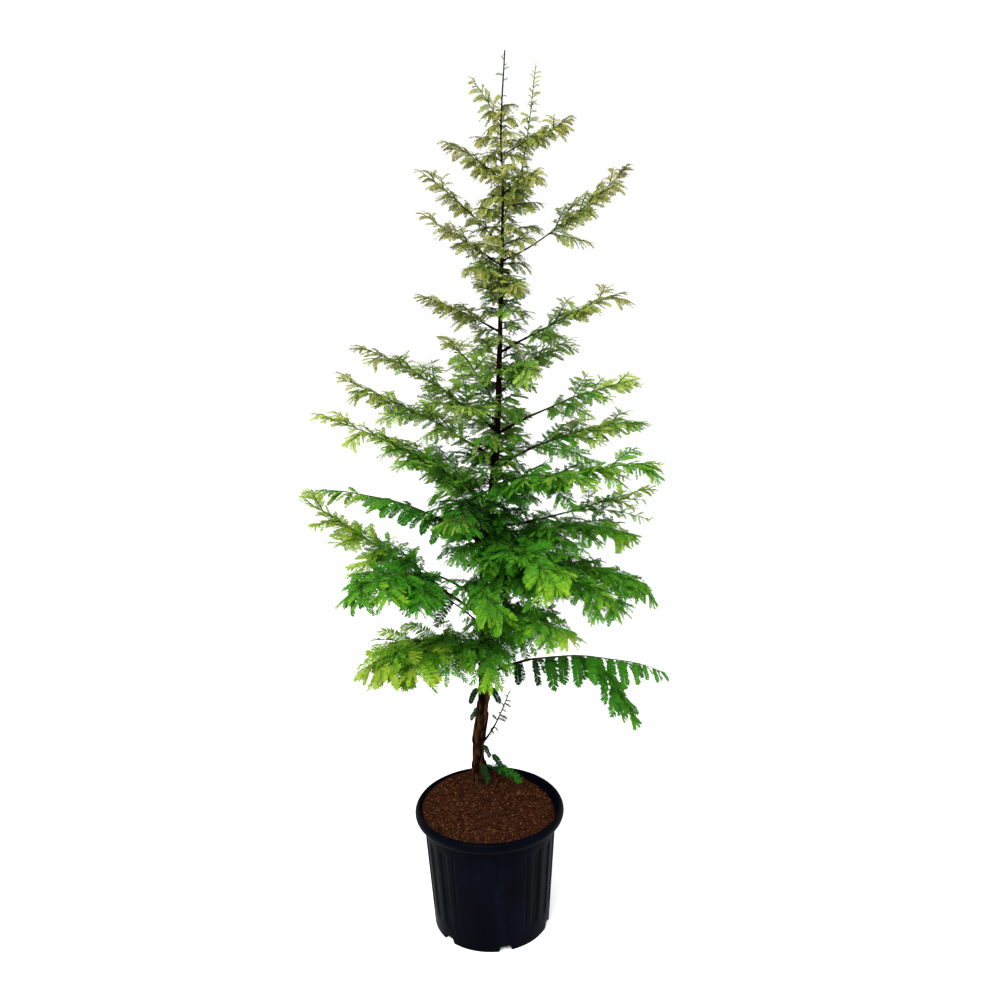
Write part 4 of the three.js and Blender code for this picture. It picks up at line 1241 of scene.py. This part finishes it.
def trunk_points(bark, rows=760, sides=84):
    """The trunk as level rings up its axis, closer together low down. Bark strips stand out of it: noise
    that runs upright and wanders sideways, cut to flakes by an S-curve, over finer fibres, deeper where
    the trunk is thick. Gives the relief too, plainer above the old bark, which colours the bark there
    darker, partly as younger bark and partly as painted shade of the crown."""
    ground = TRUNK_AXIS[0, 2]
    height = blend(ground - TRUNK_SUNK, TRUNK_AXIS[-1, 2], np.linspace(0, 1, rows) ** RINGS_CROWD)[:, None]
    angle = 2 * np.pi * np.arange(sides)[None] / sides
    around = angle / (2 * np.pi)
    drift = DRIFT_WIDE * (lattice_noise(around * DRIFT_CELLS, height / DRIFT_TALL, DRIFT_CELLS, 31) - 0.5)

    def upright(cells, tall, drifts, use):
        """Noise in tall cells round the trunk that wander sideways with the drift."""
        return lattice_noise(around * cells + drifts * drift + cells, height / tall, cells, use)

    strip = upright(STRIP_CELLS, STRIP_TALL, 1, 32)
    narrow = upright(NARROW_CELLS, NARROW_TALL, 2, 33)
    fibre = upright(FIBRE_CELLS, FIBRE_TALL, 3, 34)
    flake = smooth_step(*FLAKE_CUT, FLAKE_BLEND[0] * strip + FLAKE_BLEND[1] * narrow)
    relief = RELIEF_BLEND[0] * flake + RELIEF_BLEND[1] * narrow + RELIEF_BLEND[2] * fibre
    axis = trunk_at(height[:, 0])
    base = trunk_radius(height)
    lobes = 1 + LOBE_DEEP * np.sin(LOBES * angle + LOBE_TURN) * np.exp((ground - height) / LOBE_TALL)
    radius = base * lobes + bark.relief * (base / TRUNK_FOOT) ** RELIEF_FADE * (relief - RELIEF_LEVEL)
    x, y = axis[:, :1] + radius * np.cos(angle), axis[:, 1:2] + radius * np.sin(angle)
    rings = np.stack([x, y, height + 0 * angle], axis=-1)
    points = np.vstack([rings.reshape(-1, 3), axis[0], axis[-1]])
    # Above the old bark the relief that colours the bark is lowered, so the bark is darker there: partly
    # younger bark, partly painted shade of the crown
    age = 1 - PLAINER_AND_SHADED * smooth_step(*OLD_BARK_TO_CROWN_SHADE, height)
    pole_relief = [0.5, 0.0]
    return points, ring_faces(rows, sides), np.append((relief * age).ravel(), pole_relief)


def bough_points(tree, sides=10, rows=120):
    """Boughs as tubes along their axes, with ridges and knots: noise round and along them. Gives each
    point's share of its bough's length too, less on sprouts, which are old wood."""
    share = np.linspace(0, 1, rows)
    paths = np.stack([along_path(stem.path, share)[0] for stem in tree.stems])
    radii = np.stack([np.interp(share, np.linspace(0, 1, STEM_POINTS), r) for r in tree.radii])
    along = share * np.array([path_length(stem.path) for stem in tree.stems])[:, None]
    which = np.arange(len(paths))[:, None]
    around = np.arange(sides)[None, None] * RIDGES / sides + 0 * along[..., None]
    ridge = lattice_noise(around, (along / RIDGE_LONG + RIDGE_APART * which)[..., None], RIDGES, 35) - 0.5
    knot = lattice_noise(0 * along, along / KNOT_LONG + KNOT_APART * which, 1, 36)
    knot = smooth_step(KNOT_FROM, 1.0, knot)[..., None]
    points, faces = tubes(paths, radii[..., None] * (1 + RIDGE_DEEP * ridge + KNOT_DEEP * knot), sides)
    ends = np.broadcast_to(np.array([0.0, 1.0]), (len(paths), 2))
    place = np.concatenate([np.repeat(np.broadcast_to(share, along.shape), sides, axis=1), ends], axis=1)
    place[len(BOUGHS):] *= SPROUT_WOOD
    return points, faces, place.ravel()


def twig_points(tree, sides=5):
    """Side twigs as slim tubes that taper to their ends."""
    paths = np.stack([twig.path for twig in tree.twigs])
    radii = np.broadcast_to(np.linspace(TWIG_ROOT, TWIG_TIP, TWIG_POINTS), paths.shape[:2])
    stout = np.array([max(TWIG_SLIMMEST, twig.scale) for twig in tree.twigs])
    return tubes(paths, radii * stout[:, None], sides)


# Needles


def stalk_at(sprays, s):
    """A spray's stalk at shares of its length: straight on, and bent down by the share squared."""
    long = sprays.long[:, None, None]
    sag = UP * (sprays.curl[:, None, None] * long * s * s)
    return sprays.root[:, None] + sprays.along[:, None] * long * s - sag


def stalk_points(sprays, rows=3, sides=3):
    """The sprays' stalks as three-sided tubes that end in a point."""
    s = np.linspace(0, STALK_END, rows)[None, :, None]
    thick = np.linspace(STALK_ROOT, STALK_TIP, rows)[None] * np.sqrt(sprays.long / STALK_LONG)[:, None]
    return tubes(stalk_at(sprays, s), thick, sides, pointed=True)


def fineness(sprays, foliage):
    """Width of a spray's needles beside those of a full low spray, which narrow sprays have finer."""
    return (sprays.wide / foliage.low_wide) ** FINE_CURVE


def needles_of(sprays, pairs, foliage):
    """Two ranks of needles on each spray. A needle leaves the stalk at an angle that closes towards the
    tip, is longest a third of the way along, and is a blade of three faces: narrow foot, full width,
    pointed end."""
    j = np.arange(pairs)
    at = NEEDLE_FIRST + NEEDLE_STRETCH * (j / (pairs - 1)) ** NEEDLE_CROWD
    s = at[None, :, None]
    base = stalk_at(sprays, s)[:, :, None]
    tangent = normalized(sprays.along[:, None] - UP * 2 * sprays.curl[:, None, None] * s)
    normal = normalized(np.cross(tangent, sprays.across[:, None]))
    across = np.cross(normal, tangent)
    half = np.array([1.0, -1.0])
    key = sprays.number[:, None, None] * NEEDLE_ROOM + j[None, :, None]
    young = sprays.young[:, None, None]
    close = np.radians(np.interp(at, ANGLE_AT, ANGLE))[None, :, None]
    spread = close * (1 - YOUNG_CLOSE * young) + toss(ANGLE_CHANCE, key, half, 41) * (s < STRAIGHT_FROM)
    outline = np.interp(at, LENGTH_AT, LENGTH)[None, :, None]
    long = NEEDLE_HALF * sprays.wide[:, None, None] * outline * (1 + toss(LENGTH_CHANCE, key, half, 42))
    long = long / np.sin(np.maximum(close, ANGLE_LEAST))
    dish = DISH + toss(DISH_CHANCE, key, half, 43) + YOUNG_DISH * young
    direction = normalized(
        np.cos(spread)[..., None] * tangent[:, :, None]
        + (half * np.sin(spread))[..., None] * across[:, :, None]
        + dish[..., None] * normal[:, :, None]
    )
    flat = normalized(np.cross(normal[:, :, None], direction))
    twist = toss(TWIST_CHANCE, key, half, 44) + YOUNG_TWIST * young
    edge = np.cos(twist)[..., None] * flat + np.sin(twist)[..., None] * np.cross(direction, flat)
    full = sprays.broad * chance_from(*NEEDLE_VARIES, sprays.number, 2, 46)
    wide = (foliage.needle_width * full * fineness(sprays, foliage))[:, None, None, None]
    run = direction * long[..., None]
    sag = normal[:, :, None] * (BLADE_SAG * long[..., None])
    shoulder = base + BLADE_SHOULDER * run
    blade = [
        base - BLADE_FOOT * wide * edge,
        base + BLADE_FOOT * wide * edge,
        shoulder + BLADE_FULL * wide * edge,
        shoulder - BLADE_FULL * wide * edge,
        base + run - sag,
    ]
    light = sprays.light[:, None, None] + toss(TONE_CHANCE, key, half, 48) + TIP_TONE * (s - 0.5)
    return np.stack(blade, axis=-2), tint_of(sprays, light)


def needle_points(sprays, foliage):
    """The needles of many sprays, with as many pairs on each as its length and the needle pitch give:
    corner points, tints and the boughs they grow on."""
    stretch = np.linalg.norm(sprays.along - sprays.curl[:, None] * UP, axis=1)
    pitch = foliage.needle_pitch * fineness(sprays, foliage)
    pairs = np.clip(np.round(stretch * sprays.long / pitch), FEWEST_NEEDLES, MOST_NEEDLES).astype(int)
    blades, tints, owners = [], [], []
    for count in np.unique(pairs):
        own = pick(sprays, pairs == count)
        blade, tint = needles_of(own, count, foliage)
        blades.append(blade.reshape(-1, *blade.shape[-2:]))
        tints.append(tint.ravel())
        owners.append(np.repeat(own.owner, 2 * count))
    return np.concatenate(blades), np.concatenate(tints), np.concatenate(owners)


def tint_of(sprays, light):
    """Which tint each needle takes: a row by its spray's height, higher on the left, with a ragged edge
    between rows, and a place in the row by how light it is. The low row's first tint is for what is
    darker than 0: painted shade, for the single sprays on the trunk and the shoots low on it."""
    x, _, z = sprays.root.T
    ripe = z - TINT_TILT * x + TINT_YOUNG * sprays.young + TINT_PATCH * patches(x, z, TINT_PATCH_WIDE, 47)
    row = np.searchsorted(TINT_FROM, ripe + toss(TINT_CHANCE, sprays.number, 1, 45))
    counts = np.array([len(names) for names in TINT_ROWS])
    first = np.cumsum([0, *counts[:-1]])[row][:, None, None]
    # Rows that begin with the extra tint of painted shade, for what is darker than 0
    deep = (row == 0).astype(int)[:, None, None]
    steps = counts[row][:, None, None] - deep
    return first + deep + np.floor(np.clip(light, -deep / steps, LIGHT_MOST) * steps).astype(int)


# Settings


def colour_setting(name, description, default):
    """A colour that a user may change."""
    return bpy.props.FloatVectorProperty(
        name=name, description=description, default=default, subtype="COLOR", size=3, min=0.0, max=1.0
    )


def length_setting(name, description, default):
    """A length that a user may change."""
    return bpy.props.FloatProperty(
        name=name, description=description, default=default, unit="LENGTH", min=0.0, precision=4
    )


def pitch_setting(name, description, default):
    """A distance in spray lengths that a user may change."""
    return bpy.props.FloatProperty(name=name, description=description, default=default, min=0.05)


def power_setting(name, description, default):
    """A light's strength that a user may change."""
    return bpy.props.FloatProperty(name=name, description=description, default=default, unit="POWER")


class REDWOOD_PG_pot(bpy.types.PropertyGroup):
    """The pot's moulding."""

    colour: colour_setting("Plastic", "Colour of the moulded plastic", (0.0004, 0.0007, 0.0017))
    flute_depth: length_setting("Flute depth", "How far the upright flutes sink into the wall", 2.6 * MM)
    flute_pitch: bpy.props.FloatProperty(
        name="Flute pitch", description="Angle from flute to flute", default=math.radians(15), subtype="ANGLE"
    )


class REDWOOD_PG_mix(bpy.types.PropertyGroup):
    """The potting mix."""

    colour: colour_setting("Mix", "Colour of the bed of mix", (0.022, 0.007, 0.003))
    dark: colour_setting("Dark crumbs", "Damp peat", (0.014, 0.005, 0.002))
    red: colour_setting("Red crumbs", "Composted bark", (0.045, 0.014, 0.006))
    pale: colour_setting("Pale crumbs", "Dry fibre", (0.066, 0.030, 0.013))
    crumb_size: length_setting("Crumb size", "Length of a common crumb", 4.2 * MM)
    crumb_count: bpy.props.IntProperty(
        name="Crumbs", description="Crumbs of each colour on the surface", default=2600, min=1
    )


class REDWOOD_PG_bark(bpy.types.PropertyGroup):
    """The bark."""

    cleft: colour_setting("Clefts", "Bark in the clefts and on old wood", (0.0026, 0.0012, 0.0006))
    strip: colour_setting("Strips", "Bark on the strips", (0.0080, 0.0026, 0.0012))
    flake: colour_setting("Flakes", "Dry flakes that lift off", (0.021, 0.0105, 0.0046))
    shoot: colour_setting("Shoots", "Bark of the year's growth", (0.026, 0.046, 0.009))
    stalk: colour_setting("Stalks", "Stalks of the sprays", (0.036, 0.062, 0.010))
    relief: length_setting("Relief", "Height of the bark strips at the trunk's foot", 4.6 * MM)


class REDWOOD_PG_foliage(bpy.types.PropertyGroup):
    """The rule that sprays and needles grow by."""

    low_long: length_setting("Low spray length", "A full spray's length at the crown's foot", 62 * MM)
    mid_long: length_setting("Middle spray length", "A full spray's length half way up", 35 * MM)
    high_long: length_setting("High spray length", "A full spray's length at the crown's top", 27 * MM)
    low_wide: length_setting("Low spray width", "A full spray's width at the crown's foot", 26 * MM)
    mid_wide: length_setting("Middle spray width", "A full spray's width half way up", 11 * MM)
    high_wide: length_setting("High spray width", "A full spray's width at the crown's top", 8.5 * MM)
    pair_pitch: pitch_setting("Pair pitch", "From pair to pair of sprays, in spray lengths", 0.20)
    twig_pitch: pitch_setting("Twig pitch", "From side twig to side twig, in spray lengths", 0.50)
    shoot_pitch: length_setting("Shoot pitch", "From short shoot to short shoot up the trunk", 5.8 * MM)
    needle_pitch: length_setting("Needle pitch", "From pair to pair of full needles", 3.0 * MM)
    needle_width: length_setting("Needle width", "Width of a full needle", 2.85 * MM)


class REDWOOD_PG_tints(bpy.types.PropertyGroup):
    """Base colours of the needles."""

    # Painted shade: the darkest tint, for the single sprays on the trunk and the shoots low on it
    deep: colour_setting("Deep", "Darkest sprays, single ones on the trunk", (0.004, 0.019, 0.004))
    shade: colour_setting("Shade", "Oldest sprays, deep in the crown", (0.011, 0.062, 0.004))
    forest: colour_setting("Forest", "Old sprays", (0.017, 0.093, 0.005))
    leaf: colour_setting("Leaf", "Full-grown sprays", (0.026, 0.118, 0.007))
    fresh: colour_setting("Fresh", "Sprays of the season", (0.043, 0.156, 0.009))
    lime: colour_setting("Lime", "Young sprays", (0.092, 0.213, 0.011))
    yellow: colour_setting("Yellow", "Newest low sprays", (0.170, 0.265, 0.019))
    moss: colour_setting("Moss", "Oldest sprays half way up", (0.026, 0.072, 0.010))
    meadow: colour_setting("Meadow", "Old sprays half way up", (0.052, 0.122, 0.015))
    olive: colour_setting("Olive", "Full-grown sprays half way up", (0.090, 0.178, 0.020))
    reed: colour_setting("Reed", "Sprays of the season half way up", (0.155, 0.238, 0.032))
    citron: colour_setting("Citron", "Newest sprays half way up", (0.235, 0.300, 0.045))
    drab: colour_setting("Drab", "Oldest sprays near the top", (0.034, 0.070, 0.012))
    khaki: colour_setting("Khaki", "Old sprays near the top", (0.080, 0.122, 0.022))
    gold: colour_setting("Gold", "Full-grown sprays near the top", (0.146, 0.174, 0.034))
    straw: colour_setting("Straw", "Sprays of the season near the top", (0.214, 0.222, 0.052))
    bronze: colour_setting("Bronze", "Newest sprays near the top", (0.160, 0.145, 0.032))


class REDWOOD_PG_stage(bpy.types.PropertyGroup):
    """Floor and light."""

    floor: colour_setting("Floor", "Colour of the floor", (0.975, 0.975, 0.975))
    sky: bpy.props.FloatProperty(
        name="Sky", description="Strength of the light from all round", default=1.1, min=0.0
    )
    key: power_setting("Key", "Strength of the main light", 210.0)
    fill: power_setting("Fill", "Strength of the side light", 50.0)


GROUPS = {
    "redwood_pot": REDWOOD_PG_pot,
    "redwood_mix": REDWOOD_PG_mix,
    "redwood_bark": REDWOOD_PG_bark,
    "redwood_foliage": REDWOOD_PG_foliage,
    "redwood_tints": REDWOOD_PG_tints,
    "redwood_stage": REDWOOD_PG_stage,
}


# Operators


class REDWOOD_OT_stage(bpy.types.Operator):
    """Sets the floor, the light and the camera"""

    bl_idname = "redwood.stage"
    bl_label = "Stage"

    def execute(self, context):
        scene = context.scene
        stage = scene.redwood_stage
        self.floor(stage)
        self.light(scene, "key_light", KEY_PLACE, KEY_SIZE, stage.key)
        self.light(scene, "side_light", FILL_PLACE, FILL_SIZE, stage.fill)
        self.sky(scene, stage)
        self.camera(scene)
        scene.view_settings.view_transform = "Standard"
        return {"FINISHED"}

    def floor(self, stage):
        """A level square far wider than the view."""
        points = FLOOR_REACH * np.array([(-1, -1, 0), (1, -1, 0), (1, 1, 0), (-1, 1, 0)])
        finish = Finish("pale_floor", roughness=0.9, specular=0.1)
        grain = finish.noise(scale=3)
        finish.colour(finish.ramp(grain, [(0.3, tinted(stage.floor, 0.99)), (0.7, tuple(stage.floor))]))
        put_piece("floor", points, np.array([(0, 1, 2, 3)]), finish.material)

    def light(self, scene, name, place, size, power):
        """A square soft light that faces the middle of the plant."""
        lamp = bpy.data.lights.new(name, "AREA")
        lamp.energy = power
        lamp.size = size
        made = bpy.data.objects.new(name, lamp)
        back = normalized(np.array(place) - LIT_POINT)
        level = normalized(np.cross(UP, back))
        turn = np.stack([level, np.cross(back, level), back], axis=1)
        made.matrix_world = Matrix.LocRotScale(place, Matrix(turn.tolist()), None)
        made.visible_camera = False
        scene.collection.objects.link(made)

    def sky(self, scene, stage):
        """Even white light from all round."""
        world = bpy.data.worlds.new("soft_sky")
        world.use_nodes = True
        sky = world.node_tree.nodes["Background"]
        sky.inputs["Color"].default_value = (1.0, 1.0, 1.0, 1.0)
        sky.inputs["Strength"].default_value = stage.sky
        scene.world = world

    def camera(self, scene):
        """A camera that looks along +Y and down, rolled a little clockwise."""
        lens = bpy.data.cameras.new("view")
        lens.lens = CAMERA_LENS
        lens.clip_end = CAMERA_FAR
        made = bpy.data.objects.new("view", lens)
        down = Matrix.Rotation(math.pi / 2 - CAMERA_DOWN, 3, "X")
        roll = Matrix.Rotation(-CAMERA_ROLL, 3, "Z")
        made.matrix_world = Matrix.LocRotScale(CAMERA_PLACE, down @ roll, None)
        scene.collection.objects.link(made)
        scene.camera = made


class REDWOOD_OT_pot(bpy.types.Operator):
    """Makes the moulded pot"""

    bl_idname = "redwood.pot"
    bl_label = "Pot"

    def execute(self, context):
        pot = context.scene.redwood_pot
        settle(put_piece("pot_shell", *pot_points(pot), pot_plastic(pot)), "pot_plastic", "pot")
        return {"FINISHED"}


class REDWOOD_OT_mix(bpy.types.Operator):
    """Makes the potting mix and the crumbs on it"""

    bl_idname = "redwood.mix"
    bl_label = "Potting mix"

    def execute(self, context):
        mix = context.scene.redwood_mix
        bed = put_piece("mix_bed", *mix_points(), mix_finish("mix_bed", tuple(mix.colour)))
        settle(bed, "potting_mix", "potting_mix")
        for i, tint in enumerate(CRUMB_TINTS):
            share = PALE_SHARE if tint == "pale" else 1.0
            points, faces = crumbs(mix, CRUMB_ROOM * i, int(mix.crumb_count * share))
            finish = mix_finish(f"crumbs_{tint}", tuple(getattr(mix, tint)))
            piece = put_piece(f"mix_crumbs_{tint}", points, faces, finish, smooth=False)
            settle(piece, "potting_mix", "potting_mix")
        return {"FINISHED"}


class REDWOOD_OT_wood(bpy.types.Operator):
    """Makes the trunk, the boughs and the side twigs"""

    bl_idname = "redwood.wood"
    bl_label = "Wood"

    def execute(self, context):
        bark = context.scene.redwood_bark
        tree = grow_tree(context.scene.redwood_foliage)
        points, faces, relief = trunk_points(bark)
        trunk = put_piece("trunk_bark", points, faces, trunk_bark(bark), values={"relief": relief})
        settle(trunk, "bark", "trunk")
        points, faces, along = bough_points(tree)
        boughs = put_piece("bough_bark", points, faces, bough_bark(bark), values={"along": along})
        settle(boughs, "bough_bark", *(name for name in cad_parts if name.startswith("bough_")))
        twigs = put_piece("twigs", *twig_points(tree), shoot_finish("twig_bark", tinted(bark.shoot, 0.7)))
        settle(twigs, "bough_bark", *(node_of(stem.owner) for stem in tree.stems))
        return {"FINISHED"}


class REDWOOD_OT_needles(bpy.types.Operator):
    """Makes the sprays of needles, one piece for each tint"""

    bl_idname = "redwood.needles"
    bl_label = "Needles"

    def execute(self, context):
        scene = context.scene
        foliage, tints = scene.redwood_foliage, scene.redwood_tints
        sprays = grow_tree(foliage).sprays
        finish = shoot_finish("stalk", tuple(scene.redwood_bark.stalk))
        stalks = put_piece("spray_stalks", *stalk_points(sprays), finish)
        settle(stalks, "needles", *(node_of(i) for i in np.unique(sprays.owner) if i))
        blades, tint, owner = needle_points(sprays, foliage)
        for i, name in enumerate(sum(TINT_ROWS, ())):
            own = blades[tint == i]
            points, faces = own.reshape(-1, 3), repeated(BLADE_FACES, own.shape[1], len(own))
            finish = needle_finish(f"needles_{name}", tuple(getattr(tints, name)))
            piece = put_piece(f"needles_{name}", points, faces, finish, smooth=False)
            settle(piece, "needles", *(node_of(k) for k in np.unique(owner[tint == i]) if k))
        return {"FINISHED"}


OPERATORS = (REDWOOD_OT_stage, REDWOOD_OT_pot, REDWOOD_OT_mix, REDWOOD_OT_wood, REDWOOD_OT_needles)


class REDWOOD_PT_build(bpy.types.Panel):
    """Lists the settings and the steps that dress the plant"""

    bl_idname = "REDWOOD_PT_build"
    bl_label = "Potted Dawn Redwood"
    bl_space_type = "VIEW_3D"
    bl_region_type = "UI"
    bl_category = "Redwood"

    def draw(self, context):
        for name, group in GROUPS.items():
            box = self.layout.box()
            for key in group.__annotations__:
                box.prop(getattr(context.scene, name), key)
        for operator in OPERATORS:
            self.layout.operator(operator.bl_idname)


CLASSES = (*GROUPS.values(), *OPERATORS, REDWOOD_PT_build)


def register():
    """Adds the settings, the steps and the panel to Blender."""
    for made in CLASSES:
        bpy.utils.register_class(made)
    for name, group in GROUPS.items():
        setattr(bpy.types.Scene, name, bpy.props.PointerProperty(type=group))


def unregister():
    """Takes them away again."""
    for name in GROUPS:
        delattr(bpy.types.Scene, name)
    for made in reversed(CLASSES):
        bpy.utils.unregister_class(made)


def main():
    """Dresses the part step by step."""
    register()
    bpy.ops.redwood.stage()
    bpy.ops.redwood.pot()
    bpy.ops.redwood.mix()
    bpy.ops.redwood.wood()
    bpy.ops.redwood.needles()


if __name__ == "__main__":
    main()
